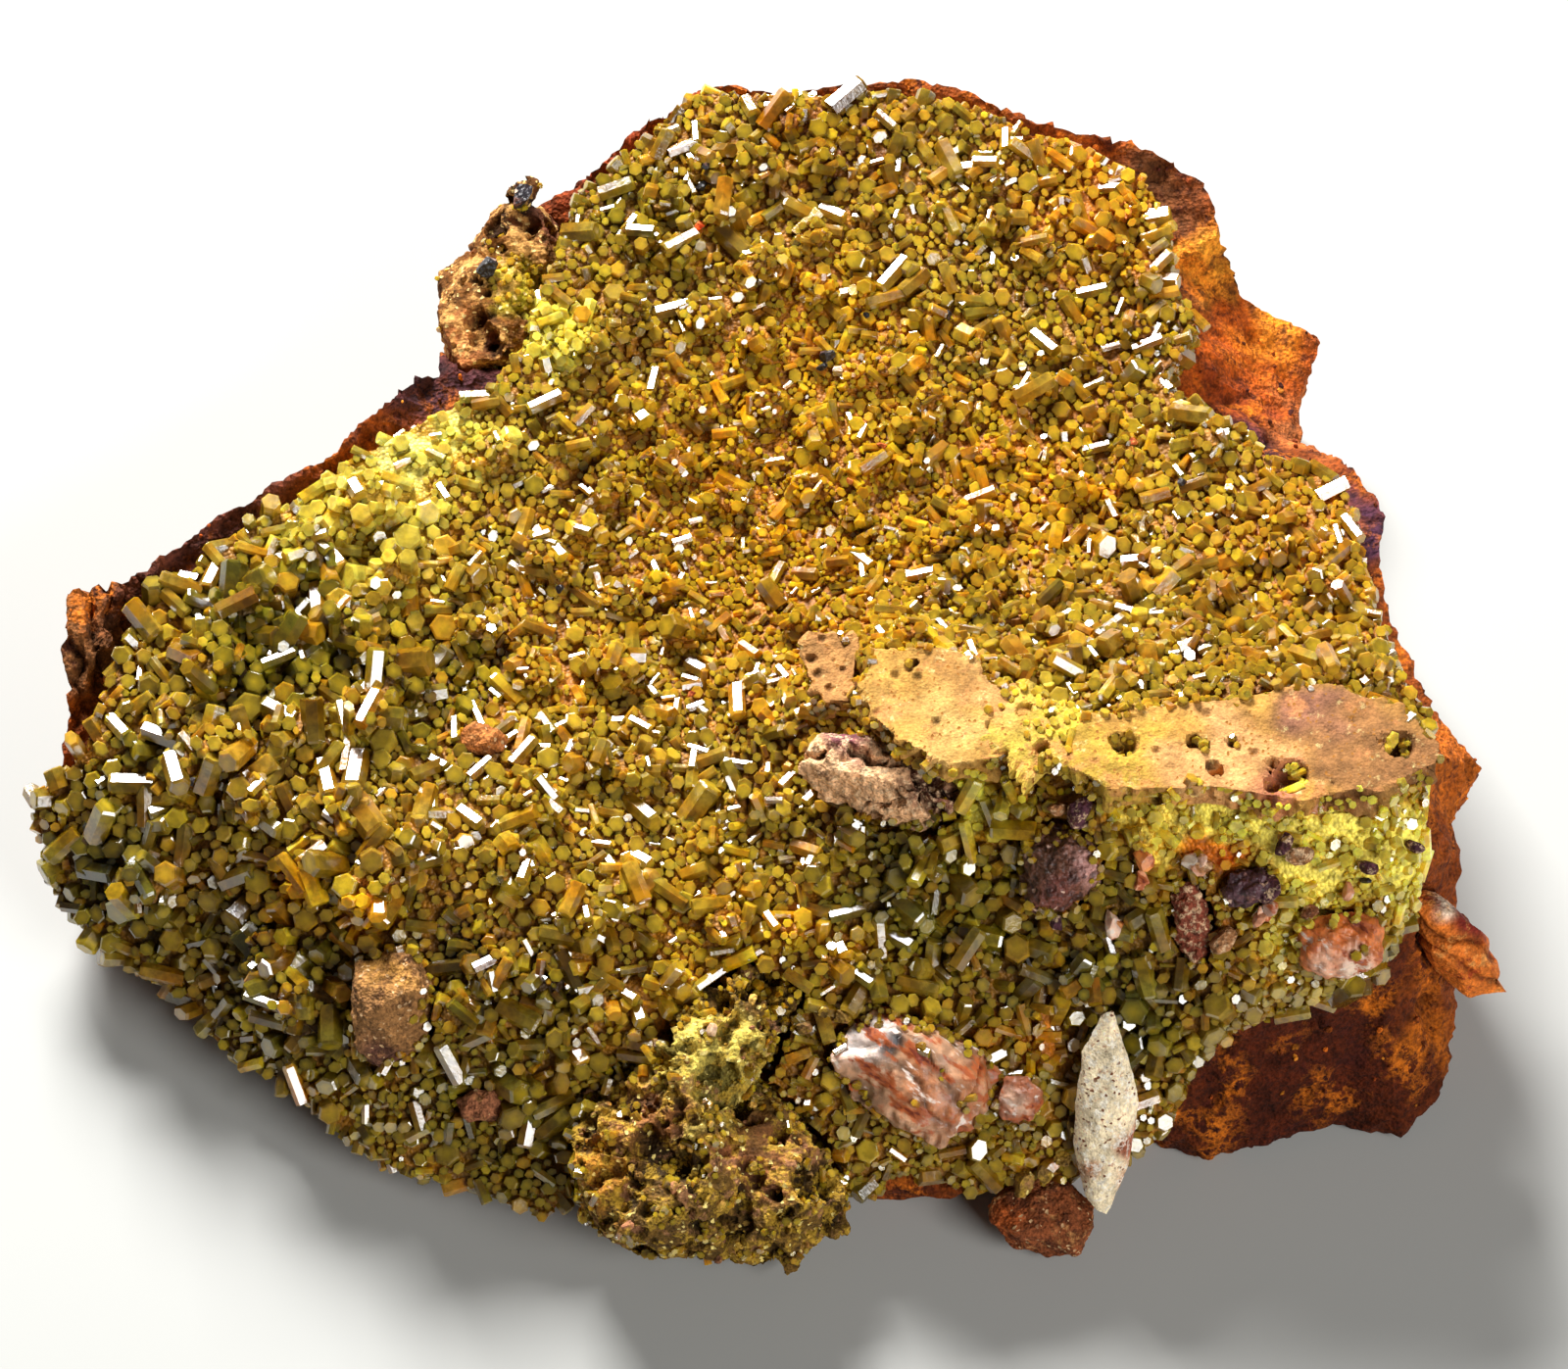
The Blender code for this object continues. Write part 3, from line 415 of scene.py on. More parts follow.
# %% Add a node
SHARE, FIRST, SECOND, MIXED = 0, 6, 7, 2      # where a Mix node keeps its sockets for colours


def wired(tree, node, sockets):
    """Gives each named socket of a node its value, or joins it to another node's output."""
    for name, value in sockets.items():
        if isinstance(value, bpy.types.NodeSocket):
            tree.links.new(value, node.inputs[name])
        else:
            node.inputs[name].default_value = value
    return node


def add(tree, kind, sockets=None, **settings):
    """Adds a node with its own settings, and with its sockets filled or joined."""
    node = tree.nodes.new(kind)
    for name, value in settings.items():
        setattr(node, name, value)
    return wired(tree, node, sockets or {})

# %% Start a material
def fresh(name, roughness, ior=1.5):
    """A new material: its tree, its shader, the painted colour and the place on the piece."""
    material = bpy.data.materials.new(name)
    material.use_nodes = True
    tree = material.node_tree
    shader = wired(tree, tree.nodes["Principled BSDF"], {"Roughness": roughness, "IOR": ior})
    tint = add(tree, "ShaderNodeAttribute", attribute_name="tint").outputs["Color"]
    place = add(tree, "ShaderNodeTexCoord").outputs["Object"]
    return material, tree, shader, tint, place


def per_mm(size):
    """The Scale of a pattern whose cells are that many millimetres."""
    return 1 / (size * MM)


def opaque(code):
    """A hex colour as a socket takes it."""
    return (*linear(code), 1)


print("scale of a pattern of 0.3 mm:", round(per_mm(0.3)))

# %% [markdown]
# Stone is never of one colour. It is mottled, darker and lighter in soft spots, and it is patched,
# where another colour shows through. Both follow a pattern, such as a noise or the place along a
# crystal: below the first edge there is none of it, above the second all of it, and it is smooth
# between them. With the two edges swapped it works the other way round.

# %% Mottled and patched
def mottled(tree, colour, pattern, edges, tones, ramp="SMOOTHSTEP"):
    """The colour times a grey that goes from one tone to the other as the pattern rises."""
    grey = add(tree, "ShaderNodeMapRange",
               {"Value": pattern, "From Min": edges[0], "From Max": edges[1],
                "To Min": tones[0], "To Max": tones[1]}, interpolation_type=ramp)
    return add(tree, "ShaderNodeMix", {SHARE: 1.0, FIRST: colour, SECOND: grey.outputs[0]},
               data_type="RGBA", blend_type="MULTIPLY").outputs[MIXED]


def patched(tree, colour, pattern, edges, other, blend="MIX"):
    """The colour, which turns to another, or is multiplied by it, as the pattern rises."""
    share = add(tree, "ShaderNodeMapRange",
                {"Value": pattern, "From Min": edges[0], "From Max": edges[1]},
                interpolation_type="SMOOTHSTEP")
    return add(tree, "ShaderNodeMix", {SHARE: share.outputs[0], FIRST: colour, SECOND: other},
               data_type="RGBA", blend_type=blend).outputs[MIXED]

# %% [markdown]
# ### Pyromorphite
# Lead chlorophosphate. It bends light strongly, with an index near 2.05, so its faces have a
# resinous to adamantine glint. The body is milky and lets light in a little way: light that enters
# one face leaves by the next, which is why the rims glow. Growth in zones leaves the ends of the
# prisms paler in the middle and greener at the edge, and that pale middle is also a painted glow of
# light shining through. Towards the foot each prism is painted warmer and darker: a warm tone, and
# painted shade where it meets the bed. Fine striae run across the long sides, so that a side that
# flashes does so in bars.

# %% Pyromorphite crystal
PYROMORPHITE_INDEX = 2.05
MILKY_DEPTH = 0.8      # how far light strays inside, in millimetres
# the pale middle of an end is partly its growth zone and partly a painted glow of light shining
# through
ZONE_AND_GLOW = 0.4             # share of the pale colour in the middle of an end


def pyromorphite():
    """Reads each point's growth: how far from the axis, how far along, and the crystal's mood."""
    material, tree, shader, tint, place = fresh("pyromorphite crystal", 0.14, PYROMORPHITE_INDEX)
    growth = add(tree, "ShaderNodeAttribute", attribute_name="growth").outputs["Vector"]
    from_axis, along, _ = add(tree, "ShaderNodeSeparateXYZ", {"Vector": growth}).outputs
    cloud = add(tree, "ShaderNodeTexNoise", {"Vector": place, "Scale": per_mm(0.8),
                                             "Detail": 3.0, "Roughness": 0.6}).outputs[0]
    colour = mottled(tree, tint, cloud, (0.35, 0.65), (0.7, 1.3))
    # painted glow and growth zone: the middle of each end is drawn towards pale gold
    middle_zone_and_glow = add(tree, "ShaderNodeMath", {0: from_axis, 1: -ZONE_AND_GLOW, 2: ZONE_AND_GLOW},
                 operation="MULTIPLY_ADD").outputs[0]
    colour = add(tree, "ShaderNodeMix", {SHARE: middle_zone_and_glow, FIRST: colour, SECOND: opaque("#DCB820")},
                 data_type="RGBA").outputs[MIXED]
    # painted shade and a warm tone: the colour is multiplied darker and warmer towards the foot
    foot_shade_and_warmth = add(tree, "ShaderNodeMix", {SHARE: 1.0, FIRST: colour, SECOND: opaque("#F4D888")},
               data_type="RGBA", blend_type="MULTIPLY").outputs[MIXED]
    colour = patched(tree, foot_shade_and_warmth, along, (0.3, 0.8), colour)

    # striae: the noise runs along the prism only, coarser than on the real one, so that it shows,
    # and the mood takes each crystal to a part of the noise of its own
    bands = add(tree, "ShaderNodeMapping", {"Vector": growth, "Scale": (0, 7, 40)}).outputs[0]
    striae = add(tree, "ShaderNodeTexNoise", {"Vector": bands, "Scale": 1.0, "Detail": 3.0,
                                              "Roughness": 0.7}).outputs[0]
    waves = add(tree, "ShaderNodeTexNoise", {"Vector": place, "Scale": per_mm(0.22),
                                             "Detail": 3.0, "Roughness": 0.6}).outputs[0]
    height = add(tree, "ShaderNodeMath", {0: striae, 1: waves}, operation="ADD").outputs[0]
    relief = add(tree, "ShaderNodeBump", {"Height": height, "Strength": 1.0,
                                          "Distance": 0.016 * MM}).outputs[0]
    wired(tree, shader, {"Base Color": colour, "Subsurface Weight": 0.65,
                         "Subsurface Radius": (1.0, 0.7, 0.1),
                         "Subsurface Scale": MILKY_DEPTH * MM, "Normal": relief})
    return material


# Resinous and milky: sharp white glints on the faces over a glow that seems to come from inside.
CRYSTAL = pyromorphite()
print("crystal's index of refraction:", PYROMORPHITE_INDEX)

# %% Druse bed
BED_GRAIN = 0.3      # millimetres


def druse_bed():
    """The fine bed between the larger crystals: grains of the same mineral, honey in the gaps."""
    material, tree, shader, tint, place = fresh("pyromorphite bed", 0.6)
    grains = add(tree, "ShaderNodeTexVoronoi", {"Vector": place, "Scale": per_mm(BED_GRAIN)},
                 feature="F1").outputs["Distance"]
    # the bed is as green as its paint where that is bright, and honey brown where it is dark
    green = add(tree, "ShaderNodeSeparateColor", {0: tint}).outputs[1]
    colour = patched(tree, tint, green, (0.6, 0.35), opaque("#FFD058"), "MULTIPLY")
    colour = mottled(tree, colour, grains, (0, 1), (1.4, 0.9), "LINEAR")
    for size, edges, tones in ((1.6, (0.35, 0.65), (0.75, 1.35)), (0.5, (0.3, 0.7), (0.6, 1.3))):
        cloud = add(tree, "ShaderNodeTexNoise", {"Vector": place, "Scale": per_mm(size),
                                                 "Detail": 3.0, "Roughness": 0.6}).outputs[0]
        colour = mottled(tree, colour, cloud, edges, tones)
    relief = add(tree, "ShaderNodeBump", {"Height": grains, "Strength": 1.0,
                                          "Distance": -0.16 * MM}).outputs[0]
    wired(tree, shader, {"Base Color": colour, "Normal": relief})
    return material


# Sugary: a mass of tiny rounded grains, too small to flash, so it looks matt beside the crystals.
BED = druse_bed()
print("grains of the bed in mm:", BED_GRAIN)

# %% [markdown]
# ### The rocks
# Limonite and gossan are earthy iron oxides: matt, crumbly, orange to brown. Ochre is a fine clay
# coloured by the same iron. Goethite is denser, dark purple-brown, and breaks with a dull metallic
# sheen. One recipe serves them all, because they differ only in the size of their grains, the
# colours of their patches and how rough they broke.

# %% Earthy rocks
def earthy(name, roughness, grain, patches=(), speck=None, speck_share=0.0, relief=0.08,
           contrast=0.5, sheen=0.2):
    """A crumbly rock: grains of a real size, patches of other colours, and stray specks.
    A patch has its colour, its size in millimetres and the two edges of its noise."""
    material, tree, shader, tint, place = fresh(name, roughness)
    grains = add(tree, "ShaderNodeTexVoronoi", {"Vector": place, "Scale": per_mm(grain)},
                 feature="F1")
    coarse, fine = [add(tree, "ShaderNodeTexNoise",
                        {"Vector": place, "Scale": per_mm(grain * times), "Detail": detail,
                         "Roughness": rough}).outputs[0]
                    for times, detail, rough in ((8, 5.0, 0.65), (1.6, 4.0, 0.7))]
    colour = mottled(tree, tint, coarse, (0.3, 0.7), (0.7, 1.3))
    for other, size, *edges in patches:
        cloud = add(tree, "ShaderNodeTexNoise", {"Vector": place, "Scale": per_mm(size),
                                                 "Detail": 5.0, "Roughness": 0.7}).outputs[0]
        toned = add(tree, "ShaderNodeMix", {SHARE: 0.7, FIRST: tint, SECOND: opaque(other)},
                    data_type="RGBA").outputs[MIXED]
        colour = patched(tree, colour, cloud, edges, toned)
    colour = mottled(tree, colour, fine, (0.25, 0.75), (1 - contrast, 1 + contrast))
    if speck:
        luck = add(tree, "ShaderNodeSeparateColor", {0: grains.outputs["Color"]}).outputs[0]
        edges = (1 - speck_share, 1 - speck_share * 0.5)
        colour = patched(tree, colour, luck, edges, opaque(speck))
    height = add(tree, "ShaderNodeMath", {0: fine, 1: grains.outputs["Distance"]},
                 operation="ADD").outputs[0]
    bumps = add(tree, "ShaderNodeBump", {"Height": height, "Strength": 1.0,
                                         "Distance": relief * MM}).outputs[0]
    wired(tree, shader, {"Base Color": colour, "Specular IOR Level": sheen, "Normal": bumps})
    return material

# %% The earthy finishes
# Broken limonite: dead matt and rough as brick, rusty orange with nearly black bands.
LIMONITE = earthy("limonite, broken", 0.92, 0.3,
                  [("#E07818", 3.6, 0.50, 0.62), ("#3E140C", 1.8, 0.52, 0.62)],
                  relief=0.16, contrast=0.65)
# Spongy gossan: crumbly, in mixed browns, with straw-coloured specks that catch the light.
# The near-black patches are painted shade, dark like the sponge's holes.
GOSSAN = earthy("gossan, spongy", 0.8, 0.28,
                [("#C09830", 1.6, 0.48, 0.58), ("#A87450", 2.2, 0.55, 0.64),
                 ("#2A1608", 0.9, 0.55, 0.66)], "#F0D880", 0.04, 0.14, 0.6)
# Fine ochre: soft and chalky, almost even in tone, with pale and reddish clouds.
OCHRE = earthy("ochre, fine-grained", 0.88, 0.2,
               [("#C88450", 2.6, 0.52, 0.66), ("#F0D890", 1.1, 0.58, 0.72)],
               "#9A6428", 0.04, 0.05, 0.3)
# Vuggy limonite: matt and tan, with darker brown patches; painted shade darkens its caves.
VUGGY = earthy("limonite, vuggy", 0.88, 0.28,
               [("#D8A058", 2.0, 0.50, 0.60), ("#6A3414", 1.2, 0.54, 0.66)],
               "#E8C880", 0.06, 0.10)
# Speckled ironstone: light and dark grains side by side, as in a coarse sandstone.
SANDSTONE = earthy("ironstone, speckled", 0.75, 0.26,
                   [("#F0CCA0", 0.6, 0.50, 0.60), ("#4A2418", 1.6, 0.53, 0.63)],
                   relief=0.12, contrast=0.6)
# Brown ironstone: a matt brown pebble with faint tan clouds.
IRONSTONE = earthy("ironstone, brown", 0.85, 0.24,
                   [("#C08850", 1.3, 0.53, 0.66), ("#38190E", 1.5, 0.52, 0.62)],
                   "#D8B080", 0.04, 0.14, 0.6)
# Dense goethite: purple-brown, and the only one of these rocks with a dull gleam.
GOETHITE = earthy("goethite, dense", 0.42, 0.35,
                  [("#9A6858", 2.2, 0.56, 0.66), ("#1C0C0C", 1.2, 0.50, 0.62)],
                  "#E0B8A0", 0.03, 0.12, sheen=0.5)
# Iron-stained shard: orange with dark red and cream stains, a little smoother than the slab.
SHARD = earthy("iron-stained shard", 0.7, 0.24,
               [("#8A2414", 2.0, 0.54, 0.64), ("#F4A858", 1.4, 0.54, 0.66)], relief=0.10)
# Speckled kaolin: pale, chalky clay peppered with brown.
SPINDLE = earthy("kaolin, speckled", 0.85, 0.2,
                 [("#B06A48", 0.8, 0.56, 0.66), ("#FFF8E8", 0.6, 0.50, 0.60)],
                 "#7A4A30", 0.05, 0.06, 0.35)
EARTHY = (LIMONITE, GOSSAN, OCHRE, VUGGY, SANDSTONE, IRONSTONE, GOETHITE, SHARD, SPINDLE)
print("earthy finishes:", [finish.name for finish in EARTHY])

# %% [markdown]
# ### Stained quartz
# The quartz is milky and glassy, and water has left rust along its cracks. Its colours run in
# streaks to one side, so their noise is stretched that way before it is read.

# %% Stained quartz
STREAK_TURN, STREAK_LENGTH = -42, 3.5      # degrees, and how many times longer than wide


def stained_quartz():
    """Milky quartz drawn out in streaks, with rust along them."""
    material, tree, shader, tint, place = fresh("quartz, rust-stained", 0.45, ior=1.54)
    along = add(tree, "ShaderNodeMapping",
                {"Vector": place, "Rotation": (0, 0, math.radians(STREAK_TURN)),
                 "Scale": (STREAK_LENGTH, 1, 1)}, vector_type="TEXTURE").outputs[0]
    streaks = add(tree, "ShaderNodeTexNoise", {"Vector": along, "Scale": per_mm(1.1),
                                               "Detail": 4.0, "Roughness": 0.6}).outputs[0]
    cloud = add(tree, "ShaderNodeTexNoise", {"Vector": place, "Scale": per_mm(0.8),
                                             "Detail": 3.0, "Roughness": 0.6}).outputs[0]
    colour = mottled(tree, tint, cloud, (0.3, 0.7), (0.7, 1.3))
    for other, edges in (("#B45C2C", (0.51, 0.60)), ("#7A3018", (0.61, 0.67)),
                         ("#F0DCCC", (0.40, 0.32))):
        colour = patched(tree, colour, streaks, edges, opaque(other))
    relief = add(tree, "ShaderNodeBump", {"Height": streaks, "Strength": 1.0,
                                          "Distance": 0.1 * MM}).outputs[0]
    wired(tree, shader, {"Base Color": colour, "Subsurface Weight": 0.35,
                         "Subsurface Radius": (1.0, 0.6, 0.4),
                         "Subsurface Scale": 0.8 * MM, "Normal": relief})
    return material


# Rust-stained quartz: smooth and waxy, white where it is clean and rosy where it is stained.
QUARTZ = stained_quartz()
print("materials made:", len(bpy.data.materials))

# %% [markdown]
# ## The limonite slab
# The slab shows as a broken rim behind and on the right, as the orange rock behind the right
# shoulder, and as the rusty slab at the lower right. Iron oxides dry and split in bands, from bright
# orange ochre to purple-brown goethite, so the paint follows those bands. The low slab at the lower
# right is painted darker than its rust: painted shade.

# %% Dress one rock
pieces = {}


def rock(node, name, square, passes, material, base, spots=(), shape=None):
    """One rock: copied, remeshed, roughened, painted and put in the place of its node."""
    piece = copy_of(node, name)
    remeshed(piece, square)
    if shape:
        shape(piece)
    roughened(piece, passes)
    points = corners_of(piece)
    points[:, 2] = np.maximum(points[:, 2], 0)
    move_corners(piece, points)
    painted(piece, base, spots)
    piece.data.materials.append(material)
    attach(piece, "root")
    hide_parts(node)
    pieces[name] = piece
    print(f"{name}: {size_of(piece)} triangles")
    return piece

# %% Slab
SLAB_SPOTS = [
    # millimetres right and up of the picture's middle, radius, colour
    # the large spot 39 right and 31 down is rusty brown darkened further: painted shade on the low
    # slab
    (35.0, 25.0, 8.0, "#B4500E"), (50.0, -6.0, 5.0, "#B45C18"), (39.0, -31.0, 16.0, "#4A1A06"),
    (49.5, -26.0, 3.0, "#A8560E"), (28.0, 35.0, 6.0, "#683C1E"), (33.5, 33.0, 2.6, "#E09028"),
    (34.0, 21.0, 3.0, "#8A3810"), (39.0, 28.0, 3.0, "#E08020"), (-53.0, 3.0, 6.0, "#7C4E28"),
    (-45.0, 10.0, 8.0, "#5E3228"), (-26.0, 23.0, 6.0, "#46262A"), (-12.0, 41.0, 6.0, "#943C1C"),
    (36.0, 17.5, 3.0, "#3E2030"), (44.5, 12.0, 3.0, "#3E2030"), (41.0, 20.0, 3.0, "#B46430"),
]


def slab_shape(piece):
    """Layers in the left end, drying cracks in the orange rock, and pits where grains fell out."""
    layered(piece, (-51.5, -0.5, 15.0), 7.0, (1, 0.15, 0), 1.7, 1.5)
    layered(piece, (39.5, 20.0, 14.0), 5.0, (0.2, 0.5, 1), 1.6, 0.35)
    pitted(piece, 700, (0.4, 1.3), 0.45, 11, -0.9)


slab = rock("limonite_matrix", "limonite_slab", 0.495,
            [("CLOUDS", 5.0, 1.1), ("CLOUDS", 1.4, 0.7), ("VORONOI", 0.8, 0.35)],
            LIMONITE, "#863E12", SLAB_SPOTS, slab_shape)

# %% [markdown]
# ## Rocks in the crust
# Each bit of rock breaks in its own way, so each kind has its own passes of noise and its own
# shaping. The ochre plates are flat and fine-grained. Their edges are frayed, and their tops have
# holes where crystals once stood, set where the photograph shows them.

# %% Ochre plates
PLATE_PASSES = [("CLOUDS", 3.0, 0.4), ("CLOUDS", 0.8, 0.14), ("VORONOI", 0.4, 0.04)]
PLATE_HOLES = [
    # millimetres right and up, radius
    (25.3, -4.4, 1.0), (31.0, -4.5, 0.5), (33.1, -4.2, 0.45), (31.6, -6.0, 0.5),
    (37.3, -6.7, 1.4), (36.0, -7.3, 0.7), (45.5, -4.4, 1.2), (27.6, -8.4, 0.6),
    (15.6, -3.0, 0.6), (9.6, 1.6, 0.4),
]


def plate_shape(piece):
    """Frayed walls, a few small pits on top and the holes that crystals left."""
    ragged(piece, 4.5, 0.45)
    pitted(piece, 10, (0.15, 0.4), 0.7, 15, 0.5)
    holed(piece, PLATE_HOLES)


rock("ochre_plate_left", "ochre_ledge_left", 0.2, PLATE_PASSES, OCHRE, "#BC8C42",
     [(4.5, 3.0, 2.6, "#B07C48"), (12.5, 1.2, 2.4, "#A8783E"), (16.0, 1.0, 2.6, "#B88850"),
      (12.0, -3.0, 4.0, "#CCA05A")],
     plate_shape)
rock("ochre_plate_right", "ochre_ledge_right", 0.2, PLATE_PASSES, OCHRE, "#B4843C",
     [(33.0, -5.5, 5.0, "#CC965C"), (42.0, -4.5, 6.0, "#8E6238"), (24.0, -7.0, 4.0, "#BC9838"),
      (39.0, -2.0, 2.4, "#8A5C44"), (36.5, -7.5, 2.0, "#B87050"), (47.0, -6.0, 3.0, "#8C6038")],
     plate_shape)
rock("ochre_chip", "ochre_chip_rough", 0.15, PLATE_PASSES, OCHRE, "#B8844C", (), plate_shape)

# %% [markdown]
# Between the two plates the ochre goes on as a thin, holed skin, half turned into yellow crust. It is
# one more broken bit: a ball pressed flat, frayed at the edge, and set level with both plates.

# %% Skin between the plates
SKIN_SIZE = (10.0, 6.5, 2.2)
SKIN_SUNK = 0.45      # share of its thickness that lies below the plates' tops
plates = tree_of([pieces["ochre_ledge_left"], pieces["ochre_ledge_right"]])
left_end, right_end = under((14.0, -1.0), plates)[0], under((24.5, -5.5), plates)[0]
level = (left_end + right_end) / 2
bpy.ops.object.select_all(action="DESELECT")
bpy.ops.mesh.primitive_ico_sphere_add(subdivisions=4, radius=0.5)
skin = bpy.context.object
skin.name = skin.data.name = "ochre_skin"
turn = math.atan2(right_end[1] - left_end[1], right_end[0] - left_end[0])
skin.scale = [side * MM for side in SKIN_SIZE]
fall = math.asin((left_end[2] - right_end[2]) / np.linalg.norm(right_end - left_end))
skin.rotation_euler = (0, fall, turn)
skin.location = level - np.array((0, 0, SKIN_SUNK * SKIN_SIZE[2] * MM))
bpy.ops.object.transform_apply(location=True, rotation=True, scale=True)
remeshed(skin, 0.2)
ragged(skin, 2.5, 0.8)
holed(skin, [(22.3, -3.6, 0.8), (17.8, -1.8, 0.7), (19.8, -2.2, 0.4), (19.0, -4.6, 0.6)])
roughened(skin, PLATE_PASSES)
painted(skin, "#C0A040", [(16.0, -2.0, 2.0, "#C89A4C"), (21.0, -3.0, 2.5, "#CDB23C")])
skin.data.materials.append(OCHRE)
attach(skin, "root")
pieces["ochre_skin"] = skin
print("skin between the plates:", (level / MM).round(1), size_of(skin), "triangles")

# %% [markdown]
# Gossan is what is left when water has leached iron ore: a sponge of cells with thin walls. Large
# pits are sunk first and several hundred small ones over them, walls and all. The vuggy rock has
# fewer and rounder holes in a body that is still sound.

# %% Spongy gossan and vuggy rock
def spongy(piece):
    """Large cells, then small ones in their walls."""
    pitted(piece, 44, (1.1, 2.3), 1.0, 21, -0.6)
    pitted(piece, 520, (0.35, 0.9), 1.2, 22, -0.8)


rock("porous_gossan", "gossan_sponge", 0.2,
     [("CLOUDS", 2.0, 0.9), ("CLOUDS", 0.6, 0.4), ("VORONOI", 0.5, 0.12)],
     GOSSAN, "#64481A",
     [(-14.0, -37.0, 3.0, "#C08028"), (-6.0, -28.5, 4.5, "#D8C058"), (-2.0, -36.0, 3.0, "#9A6038"),
      (3.0, -33.0, 3.0, "#8A5830"), (-10.0, -32.0, 3.0, "#A06838"), (-4.0, -45.0, 4.0, "#7A5820")],
     spongy)


def vuggy(piece):
    """Round caves, with pinholes between them."""
    pitted(piece, 26, (0.7, 1.5), 1.1, 31, -0.3)
    pitted(piece, 60, (0.25, 0.5), 1.0, 32, -0.3)


rock("vuggy_rock", "vuggy_limonite", 0.2, [("CLOUDS", 2.0, 0.9), ("CLOUDS", 0.6, 0.4)],
     VUGGY, "#704418",
     [(-20.5, 31.0, 2.4, "#D0BC30"), (-20.0, 38.0, 1.8, "#1E1614"), (-25.0, 26.0, 2.5, "#B8703C"),
      (-18.0, 36.5, 2.0, "#6A3A24")], vuggy)

# %% [markdown]
# The small clasts are bits of ironstone, goethite and quartz. Ironstone wears to rounded knobs, and
# the long flake has split along its layers. Goethite breaks rough. Quartz stays smooth, with low
# ridges, so it gets hardly any fine noise.

# %% Brown flakes and knobs
FLAKE_PASSES = [("CLOUDS", 3.0, 0.4), ("CLOUDS", 0.6, 0.12)]
KNOB_PASSES = [("CLOUDS", 2.4, 1.1), ("CLOUDS", 0.7, 0.35), ("VORONOI", 0.5, 0.08)]


def flake_shape(piece):
    """The flake has split along its length, and across near its right end."""
    ragged(piece, 3.5, 0.2)
    cracked(piece, [((5.5, -16.6, 28.0), (0.2, 0.9, -0.2), 0.6, 1.6),
                    ((11.6, -18.0, 26.0), (0.9, 0.5, 0.2), 0.5, 1.2),
                    ((8.5, -20.0, 26.0), (-0.3, 0.9, 0.2), 0.3, 0.8)])


rock("brown_flake", "ironstone_flake", 0.15, FLAKE_PASSES, SANDSTONE, "#ECB684",
     [(4.5, -3.2, 2.2, "#7A4248"), (11.0, -7.8, 2.2, "#80503C")], flake_shape)
rock("brown_knob", "ironstone_knob", 0.18, KNOB_PASSES, IRONSTONE, "#94683C",
     [(-31.0, -28.0, 2.2, "#6A4434"), (-30.0, -21.0, 2.0, "#A87838")])
rock("foot_clast", "ironstone_foot", 0.18, KNOB_PASSES, IRONSTONE, "#8A4A28",
     [(16.5, -40.0, 1.8, "#C0602C")])
for node, name, base in (("small_clast_left", "ironstone_bit", "#9A6040"),
                         ("small_clast_top", "ironstone_chip", "#B87038")):
    rock(node, name, 0.12, KNOB_PASSES, IRONSTONE, base)

# %% Goethite
GOETHITE_PASSES = [("CLOUDS", 1.8, 0.9), ("CLOUDS", 0.6, 0.45), ("VORONOI", 0.6, 0.3)]
rock("goethite_lump", "goethite_knot", 0.15, GOETHITE_PASSES, GOETHITE, "#704632",
     [(22.3, -13.5, 1.6, "#D09A90"), (20.5, -15.5, 1.5, "#7A4034")])
rock("goethite_chip", "goethite_bit", 0.12, GOETHITE_PASSES, GOETHITE, "#54343A")
rock("red_sliver", "iron_sliver", 0.12, GOETHITE_PASSES, SANDSTONE, "#8A4430")

# %% Quartz, shards and spindle
QUARTZ_PASSES = [("CLOUDS", 3.2, 0.9), ("CLOUDS", 0.8, 0.1)]
RUGGED_PASSES = [("CLOUDS", 1.8, 0.9), ("CLOUDS", 0.6, 0.35)]


def quartz_shape(piece):
    """Ridges where the quartz broke along its streaks."""
    layered(piece, (9.0, -38.0, 18.0), 9.0, (0.67, 0.74, 0), 2.3, 0.2)
    ragged(piece, 4.0, 0.35)


def wedge_shape(piece):
    """Layers across the wedge, round its middle."""
    layered(piece, corners_of(piece).mean(axis=0) / MM, 12.0, (0.5, 0.6, 0.6), 1.6, 0.4)


rock("quartz_clast_front", "quartz_front", 0.18, QUARTZ_PASSES, QUARTZ, "#C89874",
     [(7.7, -27.0, 1.5, "#1C1620"), (13.0, -31.0, 3.5, "#B87448"), (5.0, -26.5, 2.6, "#DCC8BC")],
     quartz_shape)
rock("quartz_clast_right", "quartz_right", 0.15, RUGGED_PASSES, QUARTZ, "#D87838",
     [(42.5, -21.0, 1.8, "#E4C8B0"), (40.0, -20.0, 1.4, "#D8A080")])
rock("quartz_chip", "quartz_bit", 0.12, RUGGED_PASSES, QUARTZ, "#A46444",
     [(17.5, -31.0, 1.0, "#D0A488")])
rock("right_shard", "orange_wedge", 0.15, FLAKE_PASSES, SHARD, "#DC7426",
     [(49.6, -16.8, 1.5, "#F4D8BC"), (51.2, -18.2, 1.5, "#7A2418")], wedge_shape)
rock("spindle_shard", "kaolin_spindle", 0.15, FLAKE_PASSES, SPINDLE, "#FBE6BE",
     [(26.2, -34.5, 1.6, "#B4684A"), (25.6, -37.5, 1.4, "#BC7450"), (22.8, -36.5, 0.9, "#C08C68")])

# %% [markdown]
# ## The bed of the druse
# Under and between the crystals lies a bed of the same mineral, too fine to tell its crystals apart.
# It is the crust's own solid, remeshed and roughened, and drawn in a little so that the crystals
# grown on it end where the plain crust ended.

